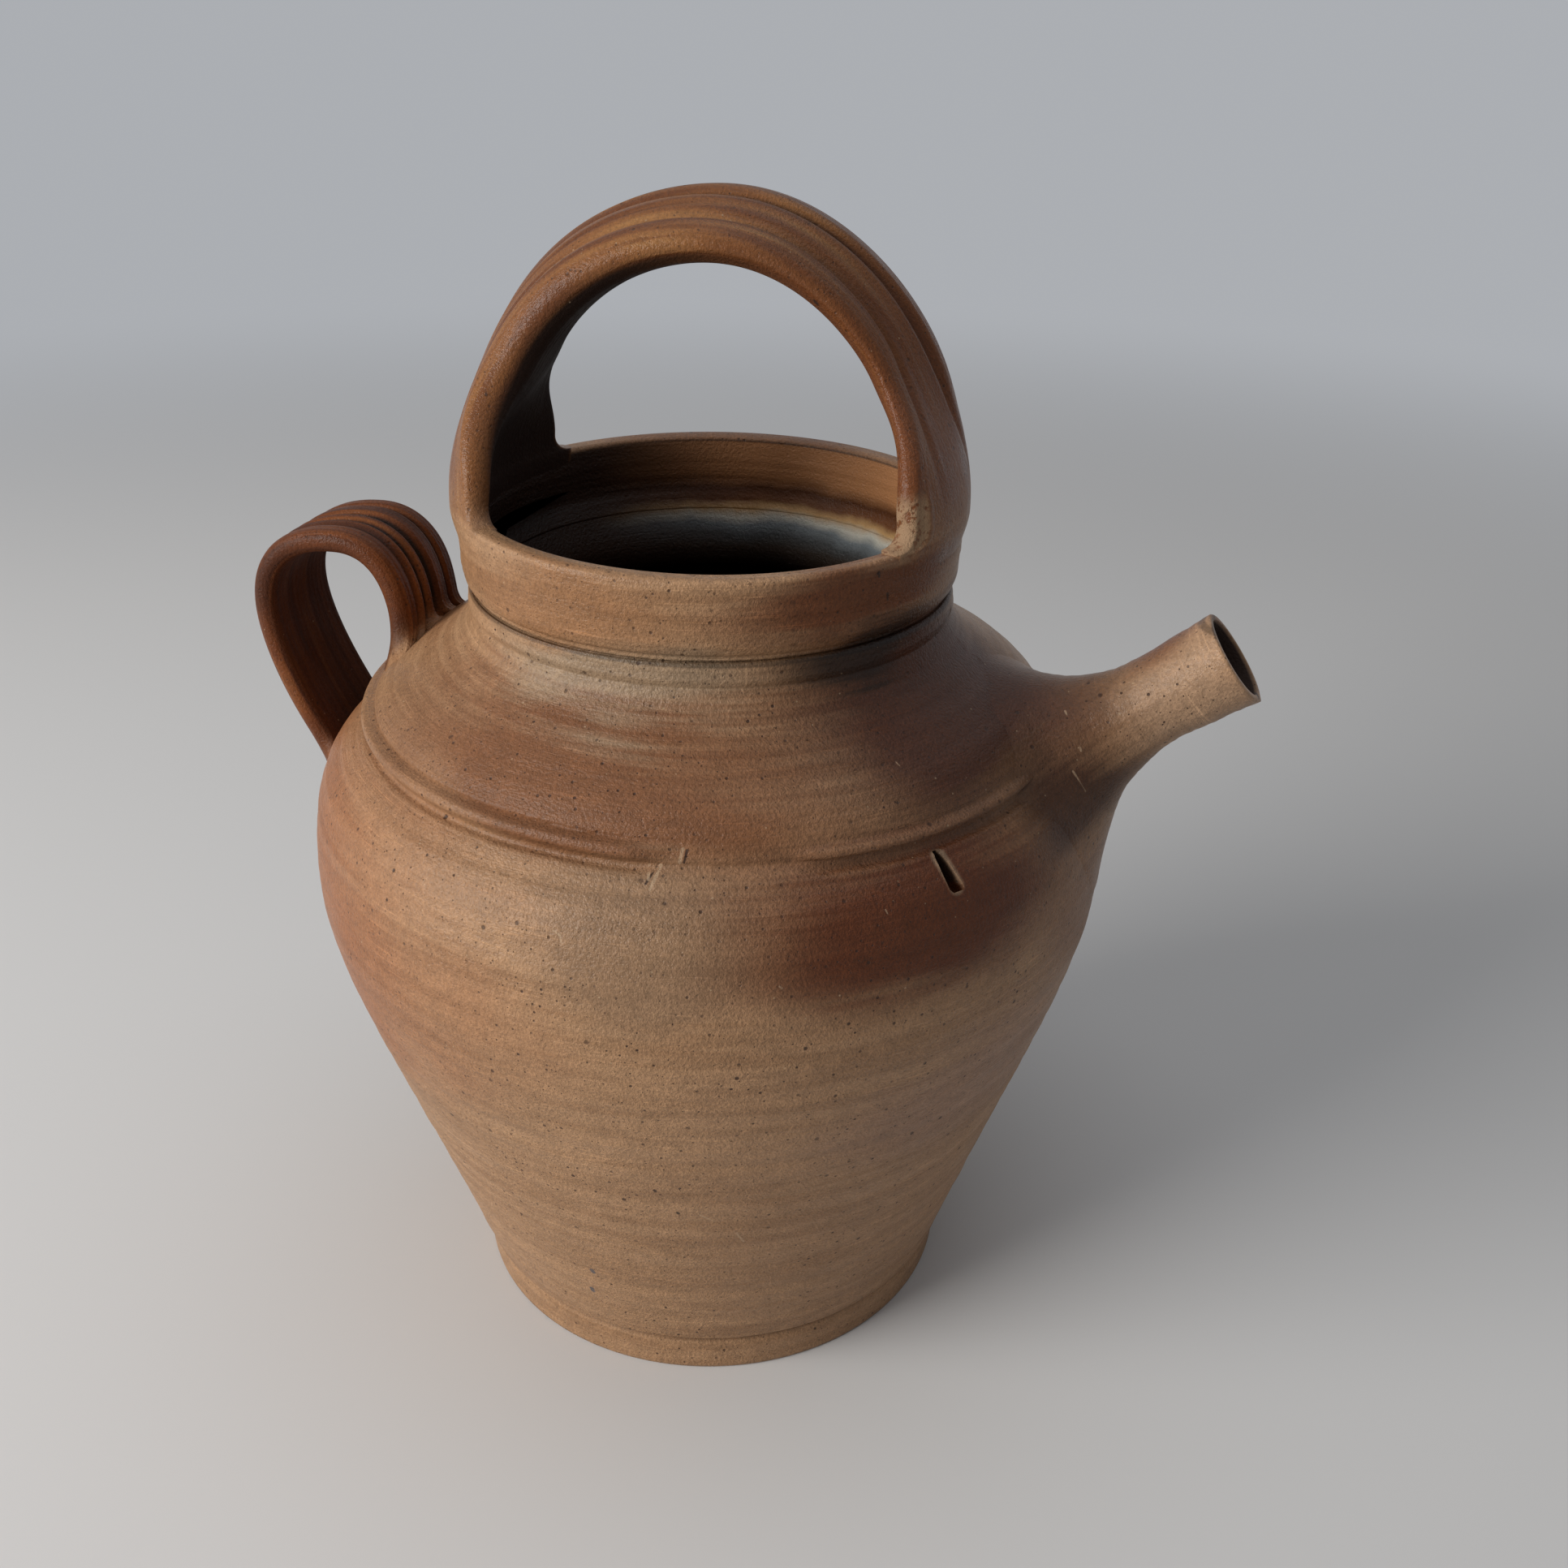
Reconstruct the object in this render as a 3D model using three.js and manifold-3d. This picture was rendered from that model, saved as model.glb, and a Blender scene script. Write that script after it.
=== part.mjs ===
// Stoneware water jug, in millimetres, +Z up, +X towards the spout.
// A thrown body, a collar with a lid gallery, a bail handle over the mouth,
// a ribbed side handle and a trumpet spout: five clay pieces, each luted to its neighbour.
// The origin is the centre of the flat underside of the foot.

import * as THREE from 'three';
import { mergeVertices } from 'three/addons/utils/BufferGeometryUtils.js';
import Module from 'manifold-3d';

const wasm = await Module();
wasm.setup();

// clearance left at every luted joint
const jointGap = 0.3;

// thrown body
const footRadius = 63.4;
const footRounding = 0.9;
const footBandHeight = 9;
const footGrooveDepth = 1;
const footGrooveWidth = 3;
const footStep = 1.6;
const floorThickness = 8;
const bodyWall = 6;
const bellyRadius = 97.5;
const bellyHeight = 123;
const beadRadius = 84.8;
const beadHeight = 157.2;
const beadSlope = 38;
const beadWidth = 5.8;
const beadRise = 1.2;
const shoulderSpring = 14;
const shoulderTopFlare = 0.8;
const coveHeight = 14;
const coveDraw = 3.5;
const neckInset = 2.5;
const neckHeight = 192;
const neckGroove = 1.6;
const throatRadius = 47.5;
const throatDepth = 7;
const galleryDrop = 7;

// collar
const collarRadius = 58.5;
const collarHeight = 19;
const collarWall = 5;
const collarEdgeInset = 1.4;
const collarEdgeHeight = 2;
const collarFootRounding = 6;
const collarFootLean = 0.4;
const lipRounding = 1.2;
const gallerySlopeHeight = 5;

// bail handle over the mouth: widths run round the rim and across the crown. Its outer face is highest
// behind its middle and falls towards the front edge, most on the spout's side. Shares run from the
// front edge at -1 to the back edge at 1.
const bailTop = 278;
const bailTurn = 7;
const bailLegWidth = 68;
const bailCrownWidth = 32;
const bailTaperHeight = 46;
const bailCornerRadius = 5;
const bailEdgeThickness = 10;
const bailRibRise = 3;
const bailInnerSwell = 1.5;
const bailCrestShare = 0.3;
const bailFrontDrop = 4;
const bailDropChange = 2.6;
const bailGrooveWidth = 2.3;
const bailFrontGrooveShare = -0.58;
const bailFrontGrooveDepth = 1.2;
const bailBackGrooveShare = 0.1;
const bailBackGrooveDepth = 2.2;

// ribbed side handle, its top above the neck's, its roots below it, its reach past the belly
const sideTopRise = 6.3;
const sideUpperRootDrop = 22;
const sideLowerRootDrop = 55;
const sideOverhang = 17.3;
const sideWidth = 30;
const sideThickness = 4.6;
const sideRibRise = 1.3;
const sideRibs = 5;
const sideRootSpread = 3;

// spout, its mouth above the bead and past it
const spoutMouthRise = 26.8;
const spoutOverhang = 36.7;
const spoutRise = 37.5;
const spoutLength = 52;
const spoutMouthRadius = 11.2;
const spoutWaistRadius = 10.4;
const spoutWaistDistance = 20;
const spoutFootRadius = 28.8;
const spoutWall = 2.8;
const spoutFootWall = 9;
const spoutHoleRadius = 12;

// smoothness of the round pieces
const turnSteps = 52;
const spoutTurnSteps = 36;

// radii and places that follow from these
const neckRadius = collarRadius - neckInset;
const shoulderTopRadius = neckRadius + shoulderTopFlare;
const collarEdgeRadius = collarRadius - collarEdgeInset;
const sideTop = neckHeight + sideTopRise;
const sideReach = bellyRadius + sideOverhang;
const sideUpperRootHeight = neckHeight - sideUpperRootDrop;
const sideLowerRootHeight = neckHeight - sideLowerRootDrop;
const spoutReach = beadRadius + spoutOverhang;
const spoutMouthHeight = beadHeight + spoutMouthRise;

const radians = THREE.MathUtils.degToRad;
const lerp = THREE.MathUtils.lerp;
const point = (x, y) => new THREE.Vector2(x, y);

// A closed geometry as a solid for cutting, with the collapsed triangles at an axis left out
function toSolid(geometry) {
  const bare = geometry.clone();
  bare.deleteAttribute('normal');
  bare.deleteAttribute('uv');
  const merged = mergeVertices(bare, 1e-4);
  const index = merged.index.array;
  const kept = [];
  for (let i = 0; i < index.length; i += 3) {
    const [a, b, c] = index.slice(i, i + 3);
    if (a !== b && b !== c && c !== a) kept.push(a, b, c);
  }
  return new wasm.Manifold(new wasm.Mesh({
    numProp: 3,
    vertProperties: new Float32Array(merged.attributes.position.array),
    triVerts: new Uint32Array(kept),
  }));
}

function toGeometry(solid) {
  const mesh = solid.getMesh();
  const geometry = new THREE.BufferGeometry();
  geometry.setAttribute('position', new THREE.BufferAttribute(new Float32Array(mesh.vertProperties), 3));
  geometry.setIndex(new THREE.BufferAttribute(new Uint32Array(mesh.triVerts), 1));
  geometry.computeVertexNormals();
  return geometry;
}

// Lathe about Z from a closed profile of (radius, height) points that runs anticlockwise
function turned(profile, steps) {
  return new THREE.LatheGeometry(profile, steps).rotateX(Math.PI / 2);
}

// An open line of points moved sideways: to its right for a positive distance
function offsetLine(line, distance) {
  return line.map((p, i) => {
    const before = line[Math.max(i - 1, 0)];
    const after = line[Math.min(i + 1, line.length - 1)];
    const along = after.clone().sub(before).normalize();
    return point(p.x + along.y * distance, p.y - along.x * distance);
  });
}

// Radius at a height of a line that climbs steadily. Past its top the last stretch runs on.
function radiusAt(line, height) {
  const above = line.findIndex((p, i) => i > 0 && p.y >= height);
  const high = line.at(above);
  const low = line.at(above - 1);
  return THREE.MathUtils.mapLinear(height, low.y, high.y, low.x, high.x);
}

// Outside of the body, from the foot's edge up to the joint under the collar

const wallFoot = point(footRadius + footStep, footBandHeight + footGrooveWidth);
const bellyRise = bellyHeight - wallFoot.y;

function lowerWall() {
  const swell = bellyRadius - wallFoot.x;
  return new THREE.CubicBezierCurve(
    wallFoot,
    point(wallFoot.x + 0.57 * swell, wallFoot.y + 0.54 * bellyRise),
    point(bellyRadius, bellyHeight - 0.17 * bellyRise),
    point(bellyRadius, bellyHeight),
  );
}

// The bead lies along the turn of the shoulder, beadSlope above the horizontal
const beadAlong = point(-Math.cos(radians(beadSlope)), Math.sin(radians(beadSlope)));
const beadStart = point(beadRadius, beadHeight).addScaledVector(beadAlong, -beadWidth / 2);
const beadEnd = point(beadRadius, beadHeight).addScaledVector(beadAlong, beadWidth / 2);

function upperWall() {
  const rise = beadStart.y - bellyHeight;
  return new THREE.CubicBezierCurve(
    point(bellyRadius, bellyHeight),
    point(bellyRadius, bellyHeight + 0.54 * rise),
    point(lerp(beadStart.x, bellyRadius, 0.7), bellyHeight + 0.83 * rise),
    beadStart,
  );
}

function bead() {
  const outward = point(beadAlong.y, -beadAlong.x);
  return [0.2, 0.5, 0.8].map((t) => beadStart.clone()
    .lerp(beadEnd, t)
    .addScaledVector(outward, beadRise * Math.sin(Math.PI * t)));
}

// A dome that springs up from the bead and hollows into a cove under the neck
function shoulder() {
  const top = point(shoulderTopRadius, neckHeight - neckGroove);
  return new THREE.CubicBezierCurve(
    beadEnd,
    point(beadEnd.x - 1, beadEnd.y + shoulderSpring),
    point(top.x - coveDraw, top.y - coveHeight),
    top,
  );
}

const wallLine = [
  ...lowerWall().getPoints(9),
  ...upperWall().getPoints(5).slice(1),
  ...bead(),
  ...shoulder().getPoints(7),
];

const footLine = [
  point(footRadius - footRounding, 0),
  point(footRadius, footRounding),
  point(footRadius + footStep * 0.3, footBandHeight),
  point(footRadius + footStep * 0.5 - footGrooveDepth, footBandHeight + footGrooveWidth / 2),
];

function bodyPiece(bore) {
  const throatTop = neckHeight - galleryDrop;
  const gallerySlope = (collarRadius - collarWall - throatRadius) / (galleryDrop + gallerySlopeHeight);
  const innerWall = offsetLine([...lowerWall().getPoints(6), ...upperWall().getPoints(4).slice(1)], -bodyWall);
  const floor = innerWall.filter((p) => p.y > floorThickness + bodyWall);
  const innerShoulder = new THREE.QuadraticBezierCurve(
    floor.at(-1),
    shoulder().getPoint(0.3).sub(point(bodyWall / 2, 0)),
    point(throatRadius, throatTop - throatDepth),
  );
  const profile = [
    point(0, 0),
    ...footLine,
    ...wallLine,
    point(neckRadius, neckHeight - neckGroove / 2),
    point(neckRadius, neckHeight),
    point(throatRadius + gallerySlope * galleryDrop, neckHeight),
    point(throatRadius, throatTop),
    ...innerShoulder.getPoints(4).reverse(),
    ...floor.slice(0, -1).reverse(),
    point(radiusAt(innerWall, floorThickness + bodyWall) - bodyWall / 2, floorThickness),
    point(0, floorThickness),
  ];
  return toGeometry(toSolid(turned(profile, turnSteps)).subtract(bore));
}

// The space that the body fills, grown by the joint's clearance, without its hollow
function bodyKeepOut() {
  const outside = offsetLine([...footLine, ...wallLine], jointGap);
  const profile = [point(0, -1), ...outside, point(0, outside.at(-1).y)];
  return toSolid(turned(profile, turnSteps));
}

function collarPiece() {
  const bottom = neckHeight + jointGap;
  const rim = neckHeight + collarHeight;
  const inner = collarRadius - collarWall;
  const slope = (inner - throatRadius) / (galleryDrop + gallerySlopeHeight);
  const edgeHeight = bottom + collarEdgeHeight;
  const footCurve = new THREE.QuadraticBezierCurve(
    point(collarEdgeRadius, edgeHeight),
    point(collarRadius - collarFootLean, edgeHeight + collarFootRounding / 3),
    point(collarRadius - collarFootLean, edgeHeight + collarFootRounding),
  );
  const profile = [
    point(neckRadius, bottom),
    point(neckRadius, edgeHeight - collarEdgeHeight / 3),
    ...footCurve.getPoints(3),
    point(collarRadius, rim - 2 * lipRounding),
    point(collarRadius, rim - lipRounding),
    point(collarRadius - lipRounding, rim),
    point(inner + lipRounding, rim),
    point(inner, rim - lipRounding),
    point(inner, neckHeight + gallerySlopeHeight),
    point(inner - slope * (gallerySlopeHeight - jointGap), bottom),
    point(neckRadius, bottom),
  ];
  return turned(profile, turnSteps);
}

// A solid through a row of closed sections that all have the same number of points
function loft(sections, capPlane) {
  const count = sections[0].length;
  const positions = sections.flat().flatMap((p) => [p.x, p.y, p.z]);
  const index = [];
  for (let i = 0; i + 1 < sections.length; i += 1) {
    for (let j = 0; j < count; j += 1) {
      const a = i * count + j;
      const b = i * count + (j + 1) % count;
      index.push(a, b, b + count, a, b + count, a + count);
    }
  }
  const addCap = (first, flip) => {
    const outline = sections[first / count].map(capPlane);
    for (const corners of THREE.ShapeUtils.triangulateShape(outline, [])) {
      const [a, b, c] = corners.sort((p, q) => p - q);
      index.push(first + a, first + (flip ? c : b), first + (flip ? b : c));
    }
  };
  addCap(0, true);
  addCap((sections.length - 1) * count, false);
  const geometry = new THREE.BufferGeometry();
  geometry.setAttribute('position', new THREE.Float32BufferAttribute(positions, 3));
  geometry.setIndex(index);
  if (signedVolume(geometry) < 0) geometry.setIndex(index.reverse());
  return geometry;
}

function signedVolume(geometry) {
  const corners = [new THREE.Vector3(), new THREE.Vector3(), new THREE.Vector3()];
  let sum = 0;
  for (let i = 0; i < geometry.index.count; i += 3) {
    corners.forEach((corner, k) => {
      corner.fromBufferAttribute(geometry.attributes.position, geometry.index.getX(i + k));
    });
    sum += corners[0].dot(corners[1].clone().cross(corners[2])) / 6;
  }
  return sum;
}

// Cross-section of a strap: across runs from -1 to 1 over the width, and the outer side has the ribs.
// Its edges are rounded over the last share of the width.
function strapSection(outerStops, innerStops, edgeShare, outerLift, innerLift) {
  const edge = (across) => {
    const beyond = (Math.abs(across) - (1 - edgeShare)) / edgeShare;
    return beyond > 0 ? Math.sqrt(Math.max(0, 1 - beyond * beyond)) : 1;
  };
  return [
    ...outerStops.map((across) => ({ across, lift: outerLift(across) * edge(across) })),
    ...innerStops.map((across) => ({ across, lift: -innerLift(across) * edge(across) })),
  ];
}

// A strap that stands on the collar's rim and arches over the mouth. Its outer line is half an ellipse,
// and its sections are bent round the collar at the rim and flat across the crown.
function bailPiece() {
  const rim = neckHeight + collarHeight + jointGap;
  const outerRise = bailTop - rim;
  const grooveStops = (share) => [share - 0.1, share, share + 0.1];
  const stops = [
    -1, -0.92, -0.8, ...grooveStops(bailFrontGrooveShare), -0.34, -0.18,
    ...grooveStops(bailBackGrooveShare), 0.4, 0.6, 0.8, 0.92, 1,
  ];
  const innerStops = [0.92, 0.6, 0.2, -0.2, -0.6, -0.92];
  const halfSteps = 15;
  const edgeShare = 0.25;
  const leastBend = 1e-6;
  const { smoothstep } = THREE.MathUtils;

  const grooveAt = (across, share, halfWidth) => {
    const away = (across - share) * halfWidth / bailGrooveWidth;
    return Math.exp(-2 * away * away);
  };
  const swellAt = (across) => 1 - ((across - bailCrestShare) / (1 + bailCrestShare)) ** 2;
  const fallAt = (across) => smoothstep(-across, -bailCrestShare, -bailFrontGrooveShare);

  const sectionAt = (angle) => {
    const crest = new THREE.Vector3(collarRadius * Math.cos(angle), 0, rim + outerRise * Math.sin(angle));
    const normal = new THREE.Vector3(Math.cos(angle) * outerRise, 0, Math.sin(angle) * collarRadius).normalize();
    const height = crest.z - rim;
    const climb = smoothstep(height, 0, bailTaperHeight);
    const body = smoothstep(height, 0, bailTaperHeight * 0.8);
    const ribs = smoothstep(height, bailTaperHeight * 0.1, bailTaperHeight * 0.8);
    const corner = Math.max(0, 1 - height / bailCornerRadius);
    const halfWidth = lerp(bailLegWidth, bailCrownWidth, climb) / 2
      + bailCornerRadius * (1 - Math.sqrt(1 - corner * corner));
    const halfEdge = lerp(collarWall, bailEdgeThickness, body) / 2;
    const bend = lerp(1, leastBend, climb) / (collarRadius - collarWall / 2);
    const centre = crest.addScaledVector(normal, -halfEdge - body * bailRibRise);
    const frontDrop = bailFrontDrop + bailDropChange * Math.cos(angle);
    const section = strapSection(
      stops,
      innerStops,
      edgeShare,
      (across) => halfEdge + body * (bailRibRise * swellAt(across) - frontDrop * fallAt(across))
        - ribs * bailFrontGrooveDepth * grooveAt(across, bailFrontGrooveShare, halfWidth)
        - ribs * bailBackGrooveDepth * grooveAt(across, bailBackGrooveShare, halfWidth),
      (across) => halfEdge + body * bailInnerSwell * (1 - across * across),
    );
    return section.map(({ across, lift }) => {
      const turn = bend * across * halfWidth;
      const out = lift * Math.cos(turn) - (1 - Math.cos(turn)) / bend;
      const side = Math.sin(turn) / bend + lift * Math.sin(turn);
      return centre.clone().addScaledVector(normal, out).add(new THREE.Vector3(0, side, 0));
    });
  };

  const sections = [];
  for (let i = -halfSteps; i <= halfSteps; i += 1) {
    const share = 1 - (1 - Math.abs(i) / halfSteps) ** 1.5;
    sections.push(sectionAt(Math.PI / 2 * (1 + Math.sign(i) * share)));
  }
  return loft(sections, (p) => point(p.x, p.y));
}

// A ribbed loop in three curves: up from the upper root, over and down, and back to the lower root
function sidePiece(keepOut) {
  const middle = sideThickness / 2 + sideRibRise;
  const reach = sideReach - middle;
  const top = sideTop - middle;
  const upperRoot = radiusAt(wallLine, sideUpperRootHeight);
  const lowerRoot = radiusAt(wallLine, sideLowerRootHeight);
  const crest = lerp(upperRoot, reach, 0.43);
  const widest = lerp(sideLowerRootHeight, top, 0.69);
  const at = (x, z) => new THREE.Vector3(-x, 0, z);
  const path = new THREE.CurvePath();
  path.add(new THREE.CubicBezierCurve3(
    at(upperRoot + 1, sideUpperRootHeight - bodyWall * 0.6),
    at(upperRoot - 1, lerp(sideUpperRootHeight, top, 0.65)),
    at(lerp(upperRoot, crest, 0.35), top),
    at(crest, top),
  ));
  path.add(new THREE.CubicBezierCurve3(
    at(crest, top),
    at(lerp(crest, reach, 0.62), top),
    at(reach, lerp(widest, top, 0.66)),
    at(reach, widest),
  ));
  path.add(new THREE.CubicBezierCurve3(
    at(reach, widest),
    at(reach, lerp(widest, sideLowerRootHeight, 0.28)),
    at(lerp(lowerRoot, reach, 0.5), lerp(widest, sideLowerRootHeight, 0.7)),
    at(lowerRoot - bodyWall * 0.5, sideLowerRootHeight - bodyWall * 0.5),
  ));
  const steps = 34;
  // one stop on each rib's crest and in each groove
  const ribStops = Array.from({ length: 2 * sideRibs - 1 }, (_, i) => (i + 1) / sideRibs - 1);
  const stops = [-1, -0.93, ...ribStops, 0.93, 1];
  const innerStops = [0.93, 0.5, 0, -0.5, -0.93];
  const edgeShare = 0.16;
  const rootShare = 1 / 8;
  const ribWave = (across) => (1 - Math.cos((across + 1) * Math.PI * sideRibs)) / 2;
  const sections = [];
  for (let i = 0; i <= steps; i += 1) {
    const share = i / steps;
    const centre = path.getPointAt(share);
    const along = path.getTangentAt(share);
    const normal = new THREE.Vector3(along.z, 0, -along.x);
    const nearRoot = Math.max(0, 1 - Math.min(share, 1 - share) / rootShare);
    const halfWidth = sideWidth / 2 + sideRootSpread * nearRoot * nearRoot;
    const section = strapSection(
      stops,
      innerStops,
      edgeShare,
      (across) => sideThickness / 2 + sideRibRise * ribWave(across),
      () => sideThickness / 2,
    );
    sections.push(section.map(({ across, lift }) => centre.clone()
      .addScaledVector(normal, lift)
      .add(new THREE.Vector3(0, across * halfWidth, 0))));
  }
  return toGeometry(toSolid(loft(sections, (p) => point(p.y, p.z))).subtract(keepOut));
}

// Outer radius of the spout at a distance back from its mouth: a slight waist, then a trumpet
function spoutRadius(distance) {
  const fromWaist = distance - spoutWaistDistance;
  if (fromWaist < 0) {
    return spoutWaistRadius + (spoutMouthRadius - spoutWaistRadius) * (fromWaist / spoutWaistDistance) ** 2;
  }
  const share = fromWaist / (spoutLength - spoutWaistDistance);
  return spoutWaistRadius + (spoutFootRadius - spoutWaistRadius) * share ** 2;
}

function spoutBoreRadius(distance) {
  const share = Math.max(0, (distance - spoutWaistDistance) / (spoutLength - spoutWaistDistance));
  return spoutRadius(distance) - lerp(spoutWall, spoutFootWall, share ** 2);
}

// Stands a shape that was turned about Z, mouth at the origin and foot at -Z, on the spout's axis
function onSpoutAxis(geometry) {
  return geometry
    .rotateY(Math.PI / 2 - radians(spoutRise))
    .translate(spoutReach, 0, spoutMouthHeight);
}

function spoutPiece(keepOut) {
  const steps = 9;
  const outside = [];
  const inside = [];
  for (let i = 0; i <= steps; i += 1) {
    const distance = spoutLength * i / steps;
    outside.push(point(spoutRadius(distance), -distance));
    inside.push(point(spoutBoreRadius(distance), -distance));
  }
  const profile = [...outside.reverse(), ...inside];
  profile.push(profile[0].clone());
  return toGeometry(toSolid(onSpoutAxis(turned(profile, spoutTurnSteps))).subtract(keepOut));
}

// Straight hole through the body's wall on the spout's axis
function spoutHole() {
  const far = spoutLength + 5 * bodyWall;
  const profile = [
    point(0, -far),
    point(spoutHoleRadius, -far),
    point(spoutHoleRadius, -spoutWaistDistance),
    point(0, -spoutWaistDistance),
  ];
  return toSolid(onSpoutAxis(turned(profile, spoutTurnSteps)));
}

function clay(name, geometry, color, roughness) {
  const mesh = new THREE.Mesh(geometry, new THREE.MeshStandardMaterial({ color, roughness, metalness: 0 }));
  mesh.name = name;
  return mesh;
}

const keepOut = bodyKeepOut();
const group = new THREE.Group();
group.add(clay('body', bodyPiece(spoutHole()), 0x9a6e48, 0.55));
group.add(clay('collar', collarPiece(), 0x8f6238, 0.5));
group.add(clay('side_handle', sidePiece(keepOut), 0x7a4526, 0.4));
group.add(clay('spout', spoutPiece(keepOut), 0x8e6440, 0.5));

const bail = clay('bail_handle', bailPiece(), 0x85552c, 0.4);
bail.rotation.z = radians(bailTurn);
group.add(bail);

export default group;
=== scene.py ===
import math

import bmesh
import bpy
import numpy as np
from mathutils import Matrix, Vector


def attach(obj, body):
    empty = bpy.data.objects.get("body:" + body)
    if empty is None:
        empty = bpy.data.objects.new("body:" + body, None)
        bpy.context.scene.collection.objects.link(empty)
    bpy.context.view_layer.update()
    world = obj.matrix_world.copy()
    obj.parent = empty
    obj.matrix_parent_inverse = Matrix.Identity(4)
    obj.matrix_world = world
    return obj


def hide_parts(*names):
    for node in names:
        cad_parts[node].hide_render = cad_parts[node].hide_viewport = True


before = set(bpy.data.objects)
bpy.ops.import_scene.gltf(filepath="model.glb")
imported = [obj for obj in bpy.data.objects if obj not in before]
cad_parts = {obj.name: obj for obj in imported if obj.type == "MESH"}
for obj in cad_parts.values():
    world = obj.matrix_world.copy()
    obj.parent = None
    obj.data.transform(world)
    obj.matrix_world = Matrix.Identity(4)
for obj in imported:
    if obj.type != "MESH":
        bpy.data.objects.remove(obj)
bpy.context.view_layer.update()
print("frame loaded")

mm = 0.001


# curves and noise on plain arrays

def cubic(a, b, c, d, count=40):
    t = np.linspace(0, 1, count)[:, None]
    a, b, c, d = (np.array(p, float) for p in (a, b, c, d))
    return (1 - t) ** 3 * a + 3 * (1 - t) ** 2 * t * b + 3 * (1 - t) * t ** 2 * c + t ** 3 * d


def quadratic(a, b, c, count=30):
    a, b, c = (np.array(p, float) for p in (a, b, c))
    return cubic(a, a + (b - a) * 2 / 3, c + (b - c) * 2 / 3, c, count)


def arc(centre, radius, fromDegrees, toDegrees, count=8):
    t = np.radians(np.linspace(fromDegrees, toDegrees, count))
    return np.array(centre, float) + radius * np.stack([np.cos(t), np.sin(t)], 1)


def joined(*lines):
    line = np.vstack(lines)
    steps = np.linalg.norm(np.diff(line, axis=0), axis=1)
    return line[np.concatenate([[True], steps > 1e-6])]


def lengthsAlong(line):
    return np.concatenate([[0], np.cumsum(np.linalg.norm(np.diff(line, axis=0), axis=1))])


def evenly(line, step):
    along = lengthsAlong(line)
    count = max(2, round(along[-1] / step) + 1)
    places = np.linspace(0, along[-1], count)
    return np.stack([np.interp(places, along, line[:, k]) for k in range(line.shape[1])], 1)


# Like evenly, but the step changes along the line
def spaced(line, stepAt):
    along = lengthsAlong(line)
    fine = np.linspace(0, along[-1], 3000)
    counted = np.concatenate([[0], np.cumsum(np.diff(fine) / stepAt(fine[1:]))])
    places = np.interp(np.linspace(0, counted[-1], int(counted[-1]) + 1), counted, fine)
    return np.stack([np.interp(places, along, line[:, k]) for k in range(line.shape[1])], 1)


def smoothStep(value, low, high):
    t = np.clip((value - low) / (high - low), 0, 1)
    return t * t * (3 - 2 * t)


def bump(value, width):
    return np.exp(-(value / width) ** 2)


def blend(a, b, share):
    return a + (b - a) * share


# Smooth noise round the wheel: turns is the angle in radians, so it closes on itself
def wheelNoise(turns, along, seed, pitch, lobes=3, terms=14):
    rng = np.random.default_rng(seed)
    total = np.zeros(np.broadcast(turns, along).shape)
    for _ in range(terms):
        around = rng.integers(-lobes, lobes + 1)
        wave = rng.uniform(0.5, 1.6) / pitch
        total = total + np.sin(around * turns + 2 * np.pi * wave * along + rng.uniform(0, 2 * np.pi))
    return total / math.sqrt(terms)


# meshes

def makeMesh(name, vertices, faces, marks=None):
    mesh = bpy.data.meshes.new(name)
    mesh.from_pydata((np.asarray(vertices) * mm).tolist(), [], faces)
    for markName, values in (marks or {}).items():
        layer = mesh.attributes.new(markName, "FLOAT", "POINT")
        layer.data.foreach_set("value", np.asarray(values, np.float32).ravel())
    mesh.polygons.foreach_set("use_smooth", [True] * len(mesh.polygons))
    mesh.update()
    obj = bpy.data.objects.new(name, mesh)
    bpy.context.collection.objects.link(obj)
    return obj


# Quads between rows of points; each row is a closed ring
def ringFaces(rows, count):
    faces = []
    for a in range(0, (rows - 1) * count, count):
        for j in range(count):
            k = (j + 1) % count
            faces.append((a + j, a + k, a + count + k, a + count + j))
    return faces


# A closed mesh through rings of points, with a fan at each end
def makeLoft(name, rings, marks=None):
    rows, count = rings.shape[:2]
    vertices = np.vstack([rings.reshape(-1, 3), rings[0].mean(0), rings[-1].mean(0)])
    faces = ringFaces(rows, count)
    start, end = rows * count, rows * count + 1
    last = (rows - 1) * count
    for j in range(count):
        k = (j + 1) % count
        faces.append((start, k, j))
        faces.append((end, last + j, last + k))
    padded = {}
    for markName, values in (marks or {}).items():
        padded[markName] = np.concatenate([values.ravel(), [values[0].mean(), values[-1].mean()]])
    return makeMesh(name, vertices, faces, padded)


# A hollow ring: the last row of points closes onto the first
def makeTube(name, rings, marks, insideOut=False):
    rows, count = rings.shape[:2]
    faces = ringFaces(rows, count)
    last = (rows - 1) * count
    for j in range(count):
        k = (j + 1) % count
        faces.append((last + j, last + k, k, j))
    if insideOut:
        faces = [face[::-1] for face in faces]
    return makeMesh(name, rings.reshape(-1, 3), faces, marks)


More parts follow.
